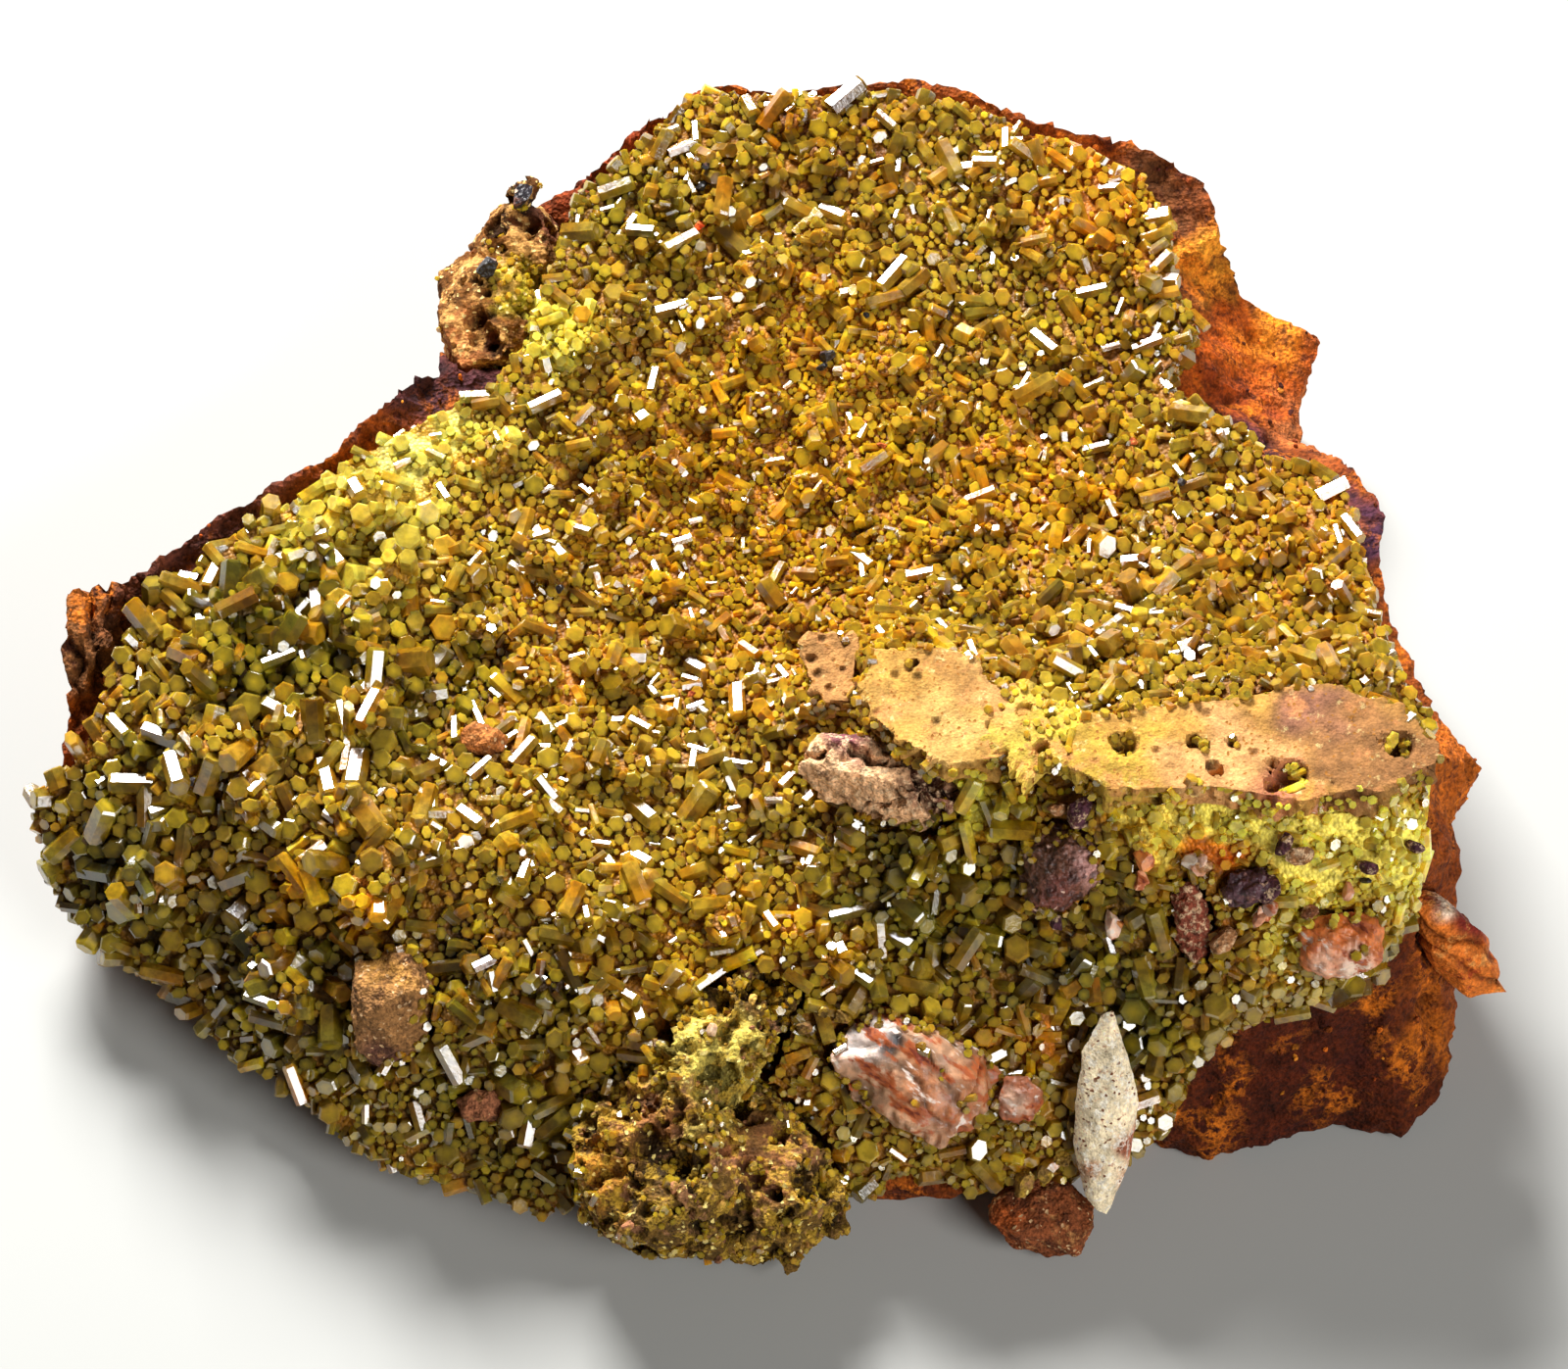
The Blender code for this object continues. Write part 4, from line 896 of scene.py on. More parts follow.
# %% Colours over the crust
CRUST_SPOTS = [
    # millimetres right and up of the picture's middle, radius, colour
    (0.0, 13.5, 16.0, "#A47C12"), (20.0, 15.0, 8.0, "#A87A12"), (4.0, 27.5, 7.0, "#B48A1C"),
    (24.0, 38.0, 7.0, "#B4821E"), (4.0, 43.0, 5.0, "#805A10"), (26.0, 27.0, 6.0, "#806010"),
    (38.0, 10.0, 8.0, "#A67A1E"), (35.0, 3.0, 6.0, "#846418"), (15.0, 6.5, 4.0, "#806212"),
    (-33.0, 12.0, 7.0, "#C2B248"), (-27.0, 19.5, 5.0, "#DCD060"), (-12.0, 36.0, 5.0, "#7E6C1C"),
    (-18.0, 27.0, 3.5, "#D0C450"), (-38.0, 4.0, 8.0, "#5E5412"), (-49.0, -5.0, 4.5, "#8E7A20"),
    (-51.0, -15.0, 6.0, "#524A1A"), (-26.0, 0.0, 6.0, "#5C4C0E"), (-17.0, 1.5, 5.0, "#AA8222"),
    (-15.0, -11.0, 7.0, "#967A24"), (-37.0, -22.0, 9.0, "#66541A"), (-22.0, -31.0, 8.0, "#74641C"),
    (-6.0, -19.0, 7.0, "#A68420"), (10.0, -15.0, 7.0, "#726620"), (24.0, -24.0, 8.0, "#58501E"),
    (40.0, -11.5, 8.0, "#FAE45E"), (27.0, -9.0, 4.0, "#F8DC58"), (20.0, -2.5, 3.0, "#D8BC50"),
    (45.0, -22.0, 4.5, "#705610"), (14.0, -8.0, 3.0, "#E8D850"), (47.0, -12.0, 4.0, "#F8E860"),
    (33.0, -9.5, 3.0, "#F4E058"), (-38.0, -15.0, 3.0, "#CC8E10"), (-31.5, -17.0, 2.2, "#D49610"),
    (2.0, -19.6, 4.0, "#B48C20"), (32.2, -19.6, 2.6, "#8A6420"), (19.0, -26.0, 3.0, "#C08820"),
    # The last three spots, nearly black, are painted shade: overhangs shade deep crevices at the
    # lower left.
    (32.0, -12.5, 2.0, "#DC8E30"), (-24.0, -19.6, 2.6, "#2E2208"), (-40.0, -17.5, 3.0, "#3A2E10"),
    (-18.0, -22.6, 2.2, "#3A2C0C"),
]
CRUST_BASE = "#927626"
print("colour spots on the crust:", len(CRUST_SPOTS))

# %% Bed
BED_DRAWN_IN = 0.15      # millimetres
bed = copy_of("pyromorphite_crust", "druse_bed")
remeshed(bed, 0.485)
roughened(bed, [("CLOUDS", 1.2, 0.5), ("VORONOI", 0.6, 0.35)])
move_corners(bed, corners_of(bed) - outward_of(bed) * BED_DRAWN_IN * MM)
# the crust's spots include three of painted shade at the lower left
painted(bed, CRUST_BASE, CRUST_SPOTS)
bed.data.materials.append(BED)
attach(bed, "root")
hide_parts("pyromorphite_crust")
print("druse bed:", size_of(bed), "triangles")

# %% [markdown]
# ## One crystal
# A pyromorphite prism is six-sided with a flat end. It is modelled once, one unit wide and one long,
# by taking a six-sided cylinder, bevelling the rim of its end and adding a point in the middle of
# the end for its pale middle: the growth zone and a painted glow. Small crystals leave out the
# bevel, because it wouldn't show.

# %% Model the prisms
NEAR_END = 0.9      # of a prism one unit long, and of a normal that points along it


def prism(name, bevel):
    """A six-sided prism from its foot up, as points, faces and each point's way from the axis."""
    bpy.ops.object.select_all(action="DESELECT")
    bpy.ops.mesh.primitive_cylinder_add(vertices=6, radius=0.5, depth=1, location=(0, 0, 0.5))
    shape = bpy.context.object
    shape.name = name
    bpy.ops.object.transform_apply(location=True, rotation=True, scale=True)
    bpy.ops.object.mode_set(mode="EDIT")
    bpy.ops.mesh.select_all(action="DESELECT")
    bpy.ops.object.mode_set(mode="OBJECT")
    for edge in shape.data.edges:
        edge.select = all(shape.data.vertices[v].co.z > NEAR_END for v in edge.vertices)
    bpy.ops.object.mode_set(mode="EDIT")
    bpy.ops.mesh.select_mode(type="EDGE")
    if bevel:
        bpy.ops.mesh.bevel(offset=bevel, segments=1)
    bpy.ops.mesh.select_all(action="DESELECT")
    bpy.ops.mesh.select_mode(type="FACE")
    bpy.ops.object.mode_set(mode="OBJECT")
    for face in shape.data.polygons:
        face.select = face.normal.z > NEAR_END
    bpy.ops.object.mode_set(mode="EDIT")
    bpy.ops.mesh.poke()
    bpy.ops.object.mode_set(mode="OBJECT")
    points = corners_of(shape)
    faces = [tuple(p.vertices) for p in shape.data.polygons]
    bpy.data.objects.remove(shape, do_unlink=True)
    from_axis = np.clip(np.hypot(points[:, 0], points[:, 1]) * 2, 0, 1)
    print(f"{name}: {len(points)} points, {sum(len(f) - 2 for f in faces)} triangles")
    return points, faces, from_axis


STOUT = prism("stout_prism", 0.07)
FINE = prism("fine_prism", 0)

# %% [markdown]
# ## Where the crystals grow
# Seeds are strewn over the crust's outer faces in three generations, the large and sparse ones
# first. Each takes its width from its place: two millimetres and more on the left shoulder, under
# one in the golden hollow. A seed that is too near an earlier one dies, as a crowded crystal does.

# %% How wide the crystals are
WIDTH_SPOTS = [
    # millimetres right and up, radius, usual crystal width in millimetres
    (0.0, 14.0, 17.0, 0.85), (-37.0, 4.0, 13.0, 1.6), (-50.0, -11.0, 10.0, 1.7),
    (-34.0, -19.0, 11.0, 1.55), (-18.0, -32.0, 8.0, 1.4), (-7.0, -15.0, 11.0, 1.2),
    (14.0, -17.0, 9.0, 1.45), (26.0, -25.0, 8.0, 1.5), (40.0, -11.0, 9.0, 0.75),
    (42.0, -25.0, 3.5, 2.0), (24.0, -6.0, 6.0, 0.75), (40.0, 8.0, 8.0, 1.1),
    (11.0, 37.0, 9.0, 1.1),
]
USUAL_WIDTH = 1.1
NARROWEST, WIDEST = 0.35, 2.4
WIDTH_SPREAD = 0.2
GENERATIONS = [
    # seeds strewn, width against the usual one of the place, share that lies down
    (2200, 1.3, 0.45), (13000, 0.92, 0.40), (90000, 0.58, 0.25),
]
rng = np.random.default_rng(7)      # every later draw of a size, a turn or a tint comes from it
print("seeds to be strewn:", [count for count, *_ in GENERATIONS])

# %% Strew seeds and leave out the hidden ones
HIDDEN_GAP = 1.0         # millimetres
OFF_THE_FACE = 0.01      # millimetres: the ray starts so far out, not to meet its own face


def strewn(piece, count):
    """Random places on a piece's faces, with the faces' normals."""
    mesh = piece.data
    mesh.calc_loop_triangles()
    ids = np.empty(len(mesh.loop_triangles) * 3, int)
    mesh.loop_triangles.foreach_get("vertices", ids)
    a, b, c = corners_of(piece)[ids.reshape(-1, 3)].transpose(1, 0, 2)
    cross = np.cross(b - a, c - a)
    area = np.linalg.norm(cross, axis=1)
    picks = rng.choice(len(area), count, p=area / area.sum())
    u, v = np.sort(rng.uniform(0, 1, (2, count)), axis=0)[:, :, None]
    places = a[picks] * u + b[picks] * (v - u) + c[picks] * (1 - v)
    return places, cross[picks] / area[picks][:, None]


def in_the_open(places, normals, cover, gap=HIDDEN_GAP):
    """True for each place that nothing covers within the gap, as seen along its own normal."""
    free = []
    for place, normal in zip(places, normals):
        way = Vector(normal)
        start = Vector(place) + way * OFF_THE_FACE * MM
        free.append(cover.ray_cast(start, way, gap * MM)[0] is None)
    return np.array(free, bool)

# %% Seeds on the crust
CRUST = frame["nodes"]["pyromorphite_crust"]
ROCKS = [node for name, node in frame["nodes"].items() if name != "pyromorphite_crust"]
rock_tree, crust_tree = tree_of(ROCKS), tree_of([CRUST])
seeds = {"place": [], "normal": [], "width": [], "lies": [], "turn": []}


def sow(places, normals, share, lying_share, generation):
    """Adds seeds to the list of all seeds."""
    width = blended(places, USUAL_WIDTH, WIDTH_SPOTS, 9)[:, 0] * share
    seeds["place"].append(places)
    seeds["normal"].append(normals)
    seeds["width"].append(width * np.exp(rng.normal(0, WIDTH_SPREAD, len(places))))
    seeds["lies"].append(rng.uniform(size=len(places)) < lying_share)
    seeds["turn"].append(generation + rng.uniform(size=len(places)))


for generation, (count, share, lying_share) in enumerate(GENERATIONS):
    places, normals = strewn(CRUST, count)
    free = in_the_open(places, normals, rock_tree)
    sow(places[free], normals[free], share, lying_share, generation)
    print("generation", generation + 1, "open seeds:", int(free.sum()))

# %% [markdown]
# The druse also climbs on the rocks. It hides the walls of the ochre plates, rings every clast with
# a collar of small crystals and settles in patches on the gossan, so that no rock seems laid on.

# %% How the druse climbs each rock
COLLARS = [
    # rock, seeds strewn, height above the crust in mm, width share, walls only, share in patches
    ("ochre_skin", 1400, 2.5, 0.6, False, 0.08), ("ochre_ledge_left", 3000, 3.5, 0.75, True, 0.0),
    ("ochre_ledge_right", 5000, 3.5, 0.75, True, 0.0),
    ("ochre_chip_rough", 700, 2.5, 0.6, True, 0.0), ("ironstone_flake", 1200, 1.8, 0.5, True, 0.0),
    ("gossan_sponge", 9000, 3.0, 0.5, False, 0.16), ("goethite_knot", 900, 2.0, 0.5, False, 0.06),
    ("quartz_front", 1600, 2.6, 0.55, False, 0.03), ("quartz_right", 900, 2.0, 0.8, False, 0.05),
    ("ironstone_knob", 1200, 2.0, 0.5, False, 0.0), ("kaolin_spindle", 900, 1.3, 0.5, False, 0.0),
    ("vuggy_limonite", 1600, 1.5, 0.5, False, 0.06), ("ironstone_chip", 200, 0.8, 0.4, False, 0.0),
    ("ironstone_bit", 200, 0.8, 0.4, False, 0.0), ("goethite_bit", 200, 0.8, 0.7, False, 0.0),
    ("iron_sliver", 250, 0.8, 0.5, False, 0.0), ("orange_wedge", 500, 1.5, 0.7, False, 0.0),
    ("quartz_bit", 500, 1.5, 0.6, False, 0.12), ("ironstone_foot", 300, 1.0, 0.4, False, 0.0),
]
print("rocks with a collar:", len(COLLARS))

# %% Seeds on the rocks
LEMON_PATCH = (-20.8, 31.5, 2.2)      # millimetres right and up, radius: on the vuggy rock
CAVE = 2.5                            # a seed in a narrower cave than that is hidden
TOP, UNDERSIDE = 0.75, -0.5           # upward part of a normal
LYING_ON_ROCKS = 0.1
for name, count, height, share, walls_only, patch_share in COLLARS:
    places, normals = strewn(pieces[name], count)
    above = np.array([crust_tree.find_nearest(place)[3] for place in places]) / MM
    grows = above < height * rng.uniform(0.2, 1, count)
    patchy = ripple(places, 3.0, 12)
    grows |= patchy > np.quantile(patchy, 1 - patch_share)
    if walls_only:
        grows &= normals[:, 2] < TOP
    if name == "vuggy_limonite":
        flat = seen(places)
        grows |= np.hypot(flat[:, 0] - LEMON_PATCH[0], flat[:, 1] - LEMON_PATCH[1]) < LEMON_PATCH[2]
    grows &= normals[:, 2] > UNDERSIDE
    places, normals = places[grows], normals[grows]
    free = in_the_open(places, normals, crust_tree)
    free &= in_the_open(places, normals, tree_of([pieces[name]]), CAVE)
    sow(places[free], normals[free], share, LYING_ON_ROCKS, len(GENERATIONS))
seeds = {key: np.concatenate(value) for key, value in seeds.items()}
print("seeds in all:", len(seeds["place"]))

# %% [markdown]
# Tens of thousands of seeds are too many to compare each with every other. They are sorted into a
# grid of cells as wide as two of the widest crystals' reach, so that a seed is only compared with
# those in its own cell and the cells around it.

# %% Which seeds live
CLOSENESS = 0.36      # how near two crystals may stand, as a share of each one's width


def with_room(places, widths, turns):
    """The seeds that win their room, in the order of their turns."""
    cell = WIDEST * 2 * CLOSENESS
    grid = {}
    kept = []
    spots = (places / MM).tolist()
    cells = np.floor(places / MM / cell).astype(int).tolist()
    reaches = (CLOSENESS * widths).tolist()
    around = [(i, j, k) for i in (-1, 0, 1) for j in (-1, 0, 1) for k in (-1, 0, 1)]
    for seed in np.argsort(turns):
        x, y, z = spots[seed]
        i, j, k = cells[seed]
        reach = reaches[seed]
        crowded = False
        for di, dj, dk in around:
            for ox, oy, oz, other in grid.get((i + di, j + dj, k + dk), ()):
                if (x - ox) ** 2 + (y - oy) ** 2 + (z - oz) ** 2 < (reach + other) ** 2:
                    crowded = True
                    break
            if crowded:
                break
        if not crowded:
            grid.setdefault((i, j, k), []).append((x, y, z, reach))
            kept.append(seed)
    return np.array(kept)

# %% Bare patches
BARE_SPOTS = [
    # millimetres right and up, radius, share of the bed that is left bare
    (40.0, -10.5, 7.0, 0.38), (47.0, -12.0, 4.0, 0.4), (33.0, -9.5, 3.5, 0.42),
    (27.0, -9.0, 4.0, 0.4), (14.0, -8.0, 3.0, 0.4), (20.5, -6.0, 3.5, 0.4),
    (-28.0, 19.5, 4.5, 0.35),
]
PATCH_SIZE = 2.4      # millimetres from one bare patch to the next
widths = np.clip(seeds["width"], NARROWEST, WIDEST)
kept = with_room(seeds["place"], widths, seeds["turn"])
bare = blended(seeds["place"][kept], 0.0, BARE_SPOTS, 29)[:, 0]
kept = kept[(bare < 0.05) | (ripple(seeds["place"][kept], PATCH_SIZE, 33) > 2 * bare - 1)]
places, normals, widths = seeds["place"][kept], seeds["normal"][kept], widths[kept]
lying = seeds["lies"][kept]
print("crystals that found room:", len(kept), "lying:", int(lying.sum()))

# %% [markdown]
# ## How the crystals stand
# Most stand up from the bed and lean a little towards the open side, so that the camera sees their
# six-sided ends. More than a quarter lean far over or lie flat, and those show their long sides. A
# lying crystal rests on its neighbours, and a standing one has its foot in the bed.
#
# A flash is a matter of direction. A face mirrors the lamp to the eye only if it faces halfway
# between them, and that way is called level here. Ends that would all flash are nudged aside, and
# some of the lying crystals are spun until one long side is level, as many in each part of the face
# as the photograph shows.

# %% Ways and turns
LEVEL = np.array((-0.16, 0.15, 0.975))


def unit(vectors):
    """The same directions, one unit long."""
    return vectors / np.linalg.norm(vectors, axis=1, keepdims=True)


def across(axes):
    """Two ways square to each axis and to one another."""
    helper = np.where(np.abs(axes[:, 2:]) > 0.9, [[1.0, 0, 0]], [[0, 0, 1.0]])
    x = unit(np.cross(helper, axes))
    return x, np.cross(axes, x)


print("length of the level way:", round(float(np.linalg.norm(LEVEL)), 2))

# %% Which way each crystal points
TOWARDS_CAMERA, ASIDE = 0.5, 1.3
FLASHES, WIDE_FLASHES, WIDE = 0.96, 0.92, 1.2      # how level an end may be, and wide ends less so
count = len(places)
lean_way = unit(rng.normal(size=(count, 3)))
lean = np.where(lying, rng.uniform(1.5, 6.0, count), np.abs(rng.normal(0, 0.45, count)))
axes = unit(normals + TOWARDS_CAMERA * np.array(TO_CAMERA))
axes = unit(axes + lean_way * lean[:, None])
too_level = axes @ LEVEL > np.where(widths > WIDE, WIDE_FLASHES, FLASHES)
too_level &= (rng.uniform(size=count) < 0.92) | (widths > WIDE)
axes[too_level] = unit(axes[too_level] + ASIDE * np.array(TO_CAMERA))
print("ends nudged aside:", int(too_level.sum()), "of", count)

# %% Which lying crystals flash
LEVEL_SPOTS = [
    # millimetres right and up, radius, share of the lying crystals that lie level
    (0.0, 14.0, 17.0, 0.0), (38.0, 6.0, 12.0, 0.0), (-14.0, -8.0, 14.0, 0.28),
    (-38.0, 0.0, 14.0, 0.16), (-38.0, -20.0, 12.0, 0.25), (10.0, -18.0, 9.0, 0.45),
    (32.0, -20.0, 10.0, 0.45), (10.0, 37.0, 9.0, 0.12),
]
USUALLY_LEVEL = 0.08
lies_level = lying & (rng.uniform(size=count) < blended(places, USUALLY_LEVEL, LEVEL_SPOTS, 39)[:, 0])
settled = unit(axes - (axes @ LEVEL)[:, None] * LEVEL + rng.normal(0, 0.04, (count, 3)))
settled *= np.where((settled * normals).sum(axis=1) < 0, -1, 1)[:, None]
axes = np.where(lies_level[:, None], settled, axes)
print("crystals that lie level:", int(lies_level.sum()))

# %% [markdown]
# A crystal that would point into the rock is lifted until it lies along the surface. The flatter a
# crystal lies, the longer it is drawn, because a lying prism shows all of its length. Few of the
# hexagons are regular: most crystals are a little wider one way than the other.

# %% Lengths, widths and feet
SLENDER_SPOTS = [
    # millimetres right and up, radius, usual length of a crystal against its width
    (0.0, 14.0, 18.0, 0.65), (-38.0, 0.0, 12.0, 1.35), (-40.0, -18.0, 12.0, 1.45),
    (-15.0, -30.0, 10.0, 1.4), (12.0, -17.0, 9.0, 1.4), (26.0, -24.0, 8.0, 1.45),
]
USUALLY_SLENDER = 0.85
LONGEST = 3.4
LOWEST_RISE, LIFTED_RISE = 0.02, 0.1
rise = (axes * normals).sum(axis=1)
lifted = unit(axes - normals * (rise[:, None] - LIFTED_RISE))
axes = np.where(rise[:, None] < LOWEST_RISE, lifted, axes)
rise = (axes * normals).sum(axis=1)
flatness = np.clip((0.75 - rise) / 0.6, 0, 1)
slender = blended(places, USUALLY_SLENDER, SLENDER_SPOTS, 19)[:, 0] * rng.uniform(0.7, 1.4, count)
lengths = np.minimum(widths * (slender + (1.55 - 0.6 * slender) * flatness), LONGEST)
widths = widths * (1 - 0.15 * flatness)
on_neighbours = normals * (0.3 * widths * flatness)[:, None] * MM
feet = places - axes * (0.5 * lengths)[:, None] * MM + on_neighbours
sizes = np.column_stack([widths, widths * rng.uniform(0.7, 1.1, count), lengths])
print("widths in mm:", np.percentile(widths, [5, 50, 95]).round(2))
print("lengths in mm:", np.percentile(lengths, [5, 50, 95]).round(2))

# %% Spin about the axis
side, other_side = across(axes)
face_up = np.arctan2(other_side @ LEVEL, side @ LEVEL) + rng.normal(0, 0.06, count)
spin = np.where(lies_level, face_up, rng.uniform(0, math.pi / 3, count))
print("spins in degrees:", np.degrees(np.percentile(spin, [5, 50, 95])).round())

# %% [markdown]
# A crystal has the colour of its place, drawn towards honey, olive or lemon by its own mood, and a
# little darker or lighter than the next one. Without that, the druse looks like one painted sheet.

# %% Tints
HONEY, OLIVE, LEMON = linear("#C07C08"), linear("#6A6A10"), linear("#CCB41C")
HONEY_BELOW, OLIVE_BELOW = 0.35, 0.8
MOST_MOOD, TONE_SPREAD = 0.4, 0.22
# the crust's spots include three of painted shade at the lower left
tints = blended(places, linear(CRUST_BASE), [(*s[:3], linear(s[3])) for s in CRUST_SPOTS])
moods = rng.uniform(size=(count, 1))
mood_colour = np.where(moods < HONEY_BELOW, HONEY, np.where(moods < OLIVE_BELOW, OLIVE, LEMON))
tints = tints + (mood_colour - tints) * rng.uniform(0, MOST_MOOD, (count, 1))
tints = tints * np.exp(rng.normal(0, TONE_SPREAD, (count, 1)))
print("mean tint, linear:", tints.mean(axis=0).round(3))

# %% [markdown]
# ## Growing the druse
# Each crystal is a copy of the modelled prism, scaled, turned and moved by arrays of numbers, and
# many are joined in one mesh. That takes seconds, where fourteen thousand objects would take many
# minutes. Each mesh covers one part of the face, so that no mesh is too heavy.

# %% Place many copies of a shape
def placed(points, feet, axes, spin, sizes):
    """The points of every copy: scaled, spun about its axis, tipped along it and put on its foot."""
    x, y = across(axes)
    turn = spin[:, None]
    x, y = x * np.cos(turn) + y * np.sin(turn), y * np.cos(turn) - x * np.sin(turn)
    local = points[None] * sizes[:, None] * MM
    return (feet[:, None] + x[:, None] * local[:, :, :1] + y[:, None] * local[:, :, 1:2]
            + axes[:, None] * local[:, :, 2:])

# %% Join the copies in one mesh
def joined(name, shape, feet, axes, spin, sizes, tints, moods, material):
    """One mesh of many copies of a shape, with their colour and growth stored on its points."""
    points, faces, from_axis = shape
    made = placed(points, feet, axes, spin, sizes)
    corners = np.array([c for face in faces for c in face])
    counts = np.array([len(face) for face in faces])
    loops = (corners[None] + np.arange(len(feet))[:, None] * len(points)).ravel()
    starts = np.concatenate([[0], np.cumsum(np.tile(counts, len(feet)))[:-1]])
    mesh = bpy.data.meshes.new(name)
    mesh.vertices.add(len(feet) * len(points))
    mesh.vertices.foreach_set("co", made.ravel())
    mesh.loops.add(len(loops))
    mesh.loops.foreach_set("vertex_index", loops)
    mesh.polygons.add(len(starts))
    mesh.polygons.foreach_set("loop_start", starts)
    mesh.update(calc_edges=True)
    mesh.shade_flat()
    colour = np.repeat(np.column_stack([tints, np.ones(len(feet))]), len(points), axis=0)
    layer = mesh.attributes.new("tint", "FLOAT_COLOR", "POINT")
    layer.data.foreach_set("color", colour.ravel())
    growth = np.zeros((len(feet), len(points), 3))
    growth[:, :, 0] = from_axis
    growth[:, :, 1] = points[:, 2]
    growth[:, :, 2] = moods
    layer = mesh.attributes.new("growth", "FLOAT_VECTOR", "POINT")
    layer.data.foreach_set("vector", growth.ravel())
    mesh.materials.append(material)
    piece = bpy.data.objects.new(name, mesh)
    bpy.context.scene.collection.objects.link(piece)
    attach(piece, "root")
    print(f"{name}: {len(feet)} copies, {size_of(piece)} triangles")
    return piece

# %% Grow the crystals of each part of the face
STOUT_FROM = 1.2      # millimetres: a narrower crystal's bevel wouldn't show
REGIONS = {
    # part of the face: its middle, millimetres right and up
    "hollow": (0.0, 12.0), "left_shoulder": (-38.0, 2.0), "lower_left": (-30.0, -24.0),
    "front_slope": (-4.0, -18.0), "right_side": (36.0, 6.0), "ledge": (34.0, -18.0),
    "top": (8.0, 36.0),
}
middles = np.array(list(REGIONS.values()))
region = np.linalg.norm(seen(places)[:, None] - middles[None], axis=2).argmin(axis=1)
for number, name in enumerate(REGIONS):
    for prefix, shape, fits in (("prisms", STOUT, widths >= STOUT_FROM),
                                ("fine_prisms", FINE, widths < STOUT_FROM)):
        ids = (region == number) & fits
        joined(f"{prefix}_{name}", shape, feet[ids], axes[ids], spin[ids], sizes[ids], tints[ids],
               moods[ids], CRYSTAL)

# %% [markdown]
# ## Crumbs and grains
# Broken rock sheds crumbs. They lie on the gossan and on the slab, and small bits of quartz,
# goethite and ironstone are scattered over the ledge and the druse. A crumb is a ball that a few
# flat breaks have cut back, and three of them are enough: turned and scaled, no two look alike.

# %% Model the crumbs
BREAKS = 9


def crumb(name, seed):
    """A broken grain about one unit across, as points, faces and zeros."""
    bpy.ops.object.select_all(action="DESELECT")
    bpy.ops.mesh.primitive_ico_sphere_add(subdivisions=2, radius=0.5, location=(0, 0, 0))
    shape = bpy.context.object
    shape.name = name
    own = np.random.default_rng(seed)
    points = corners_of(shape)
    for way in unit(own.normal(size=(BREAKS, 3))):
        over = np.clip(points @ way - own.uniform(0.2, 0.38), 0, None)
        points = points - over[:, None] * way
    faces = [tuple(p.vertices) for p in shape.data.polygons]
    bpy.data.objects.remove(shape, do_unlink=True)
    return points, faces, np.zeros(len(points))


CRUMBS = [crumb(f"crumb_{seed}", seed) for seed in (1, 2, 3)]
print("points of a crumb:", len(CRUMBS[0][0]))

# %% Scatter crumbs
FULL_TURN = 6.28                     # radians
OUT, TILT, TONE = 0.1, 0.5, 0.2      # how far a crumb stands out, in widths, leans and varies


def scattered(name, places, normals, size_range, colours, material):
    """Crumbs of mixed sizes and colours, half sunk in what they lie on."""
    count = len(places)
    width = np.exp(rng.uniform(*np.log(size_range), (count, 1)))
    sizes = width * rng.uniform(0.6, 1.2, (count, 3))
    tints = np.array([linear(c) for c in colours])[rng.integers(0, len(colours), count)]
    tints = tints * np.exp(rng.normal(0, TONE, (count, 1)))
    axes = unit(normals + rng.normal(0, TILT, (count, 3)))
    places = places + normals * width * OUT * MM
    return joined(name, CRUMBS[count % 3], places, axes, rng.uniform(0, FULL_TURN, count), sizes,
                  tints, np.zeros((count, 1)), material)


crumb_places, crumb_normals = strewn(pieces["gossan_sponge"], 420)
stays = crumb_normals[:, 2] > -0.2
scattered("gossan_crumbs", crumb_places[stays], crumb_normals[stays], (0.3, 1.2),
          ["#B88030", "#C89A48", "#A06A48", "#7A5424", "#8E7A2C", "#4A2E14"], GOSSAN)
crumb_places, crumb_normals = strewn(slab, 1500)
stays = crumb_normals[:, 2] > 0.2
stays[stays] = in_the_open(crumb_places[stays], crumb_normals[stays], crust_tree)
scattered("limonite_crumbs", crumb_places[stays], crumb_normals[stays], (0.3, 0.8),
          ["#C05E16", "#8A3C12", "#6A3014", "#D88428", "#50241C"], LIMONITE)

# %% Grains that lie where the photograph shows them
LIFT = 0.5      # millimetres


def grains(name, spots, colours, material, slot, size_range, tree=crust_tree):
    """Grains on the crust, or on another tree, at millimetres right and up."""
    hits = [hit for hit in (under(spot, tree) for spot in spots) if hit]
    places = np.array([h[0] for h in hits])
    normals = np.array([h[1] for h in hits])
    lifted = places + normals * LIFT * MM
    return scattered(name, lifted, normals, size_range, colours, material)


NEARLY_BLACK = ["#141214", "#1E1A20"]
grains("goethite_grains", [(-6.4, 39.6), (-5.6, 39.2), (-6.0, 40.3), (3.0, 24.6), (3.4, 25.2),
                           (12.8, 28.4), (6.4, 28.5), (-16.9, 7.5), (30.6, 15.1), (-45.0, -6.9),
                           (15.8, -41.2), (43.0, -14.2)],
       NEARLY_BLACK, GOETHITE, "goethite", (0.8, 1.5))
grains("rust_grains", [(-6.6, 35.5), (7.5, 18.3), (5.1, 15.5), (27.0, 18.3), (-6.9, -1.0)],
       ["#D8481A", "#B85A28"], SHARD, "orange_shard", (0.7, 1.2))

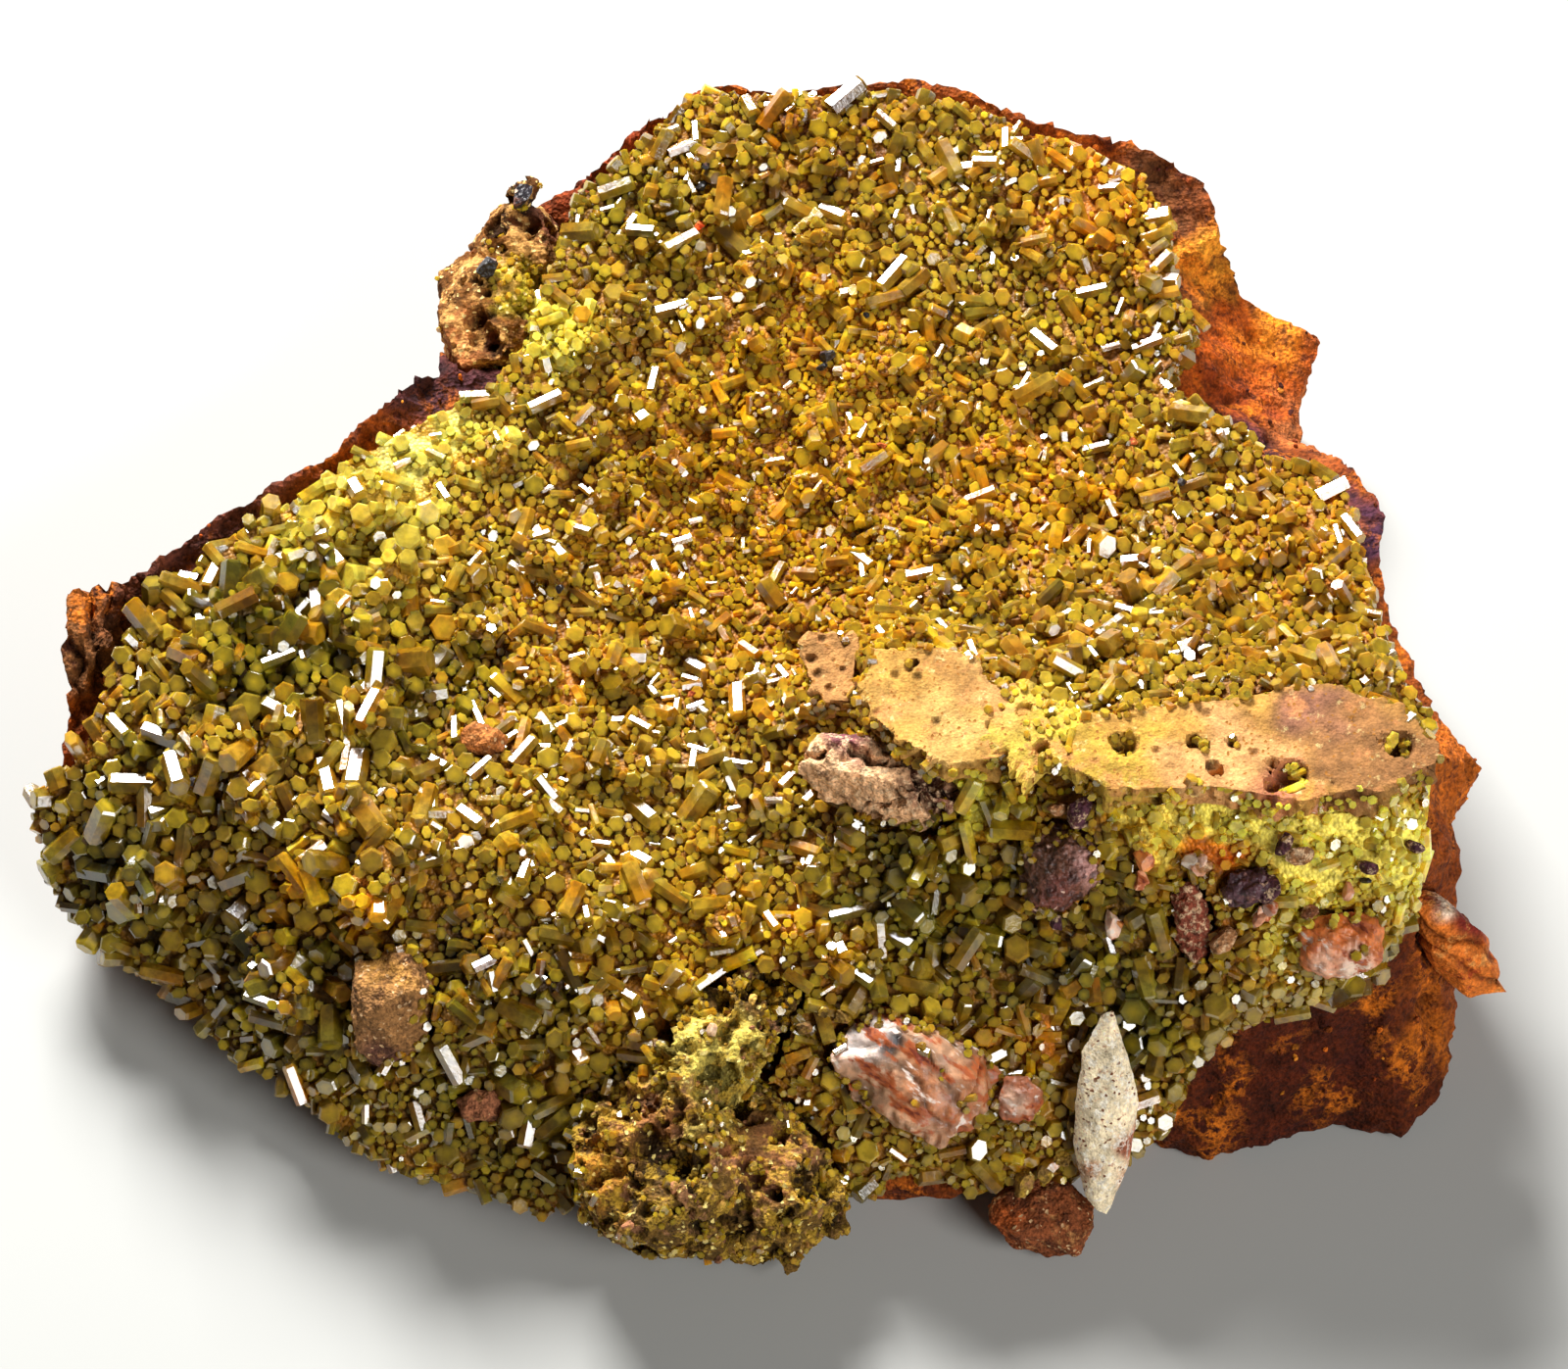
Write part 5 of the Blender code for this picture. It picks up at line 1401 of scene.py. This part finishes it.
# %% Grains on the ledge, the gossan and the vuggy rock
ledge_spots = np.column_stack([rng.normal(34, 6.5, 24), rng.normal(-14.0, 2.6, 24)])
grains("ledge_ironstone", [(20.5, -8.9), (22.5, -9.4), (20.5, -17.5), (47.6, -21.5), (46.4, -20.6),
                           (30.5, -19.0), (36.5, -14.6), *ledge_spots[:10]],
       ["#A8744A", "#6A3C34", "#8A5434", "#54303A"], SANDSTONE, "brown_sandstone", (1.6, 3.4))
grains("ledge_quartz", [(35.6, -16.8), (31.0, -13.0), (23.0, -15.0), (25.0, -17.6),
                        *ledge_spots[10:20]],
       ["#E0B49C", "#D0906C", "#E8D0BC", "#E08A48"], QUARTZ, "stained_quartz", (1.2, 2.4))
grains("gossan_quartz", [(2.2, -33.1), (3.4, -32.8), (-5.2, -25.4)], ["#D8D2C0", "#E0B890"],
       QUARTZ, "stained_quartz", (1.2, 1.8), tree_of([pieces["gossan_sponge"]]))
grains("vuggy_goethite", [(-20.4, 37.9), (-19.4, 38.1), (-18.0, 36.6), (-23.2, 32.2)],
       NEARLY_BLACK, GOETHITE, "goethite", (1.4, 2.6), tree_of([pieces["vuggy_limonite"]]))
grains("gossan_bits", [(3.0, -24.4), (4.6, -24.8), (1.6, -25.6), (6.2, -24.2), (21.6, -33.0),
                       (20.8, -35.2), (19.6, -36.4), (21.4, -37.6), (17.8, -37.2), (20.2, -38.8)],
       ["#8A6A30", "#A07444", "#74582A"], GOSSAN, "gossan", (1.4, 2.8))

# %% [markdown]
# ## The table
# A plain pale floor, with nothing on it that would draw the eye from the specimen.

# %% Floor
FLOOR_SIDE, FLOOR_GAP = 6, 0.02      # metres, and millimetres under the specimen
bpy.ops.object.select_all(action="DESELECT")
bpy.ops.mesh.primitive_plane_add(size=FLOOR_SIDE, location=(0, 0, -FLOOR_GAP * MM))
floor = bpy.context.object
floor.name = "floor"
# Matt paper: no gleam at all, so that only the crystals flash.
paper = bpy.data.materials.new("paper, matt")
paper.use_nodes = True
wired(paper.node_tree, paper.node_tree.nodes["Principled BSDF"],
      {"Base Color": opaque("#B2B2AE"), "Roughness": 0.9})
floor.data.materials.append(paper)
print("floor:", FLOOR_SIDE, "m wide")
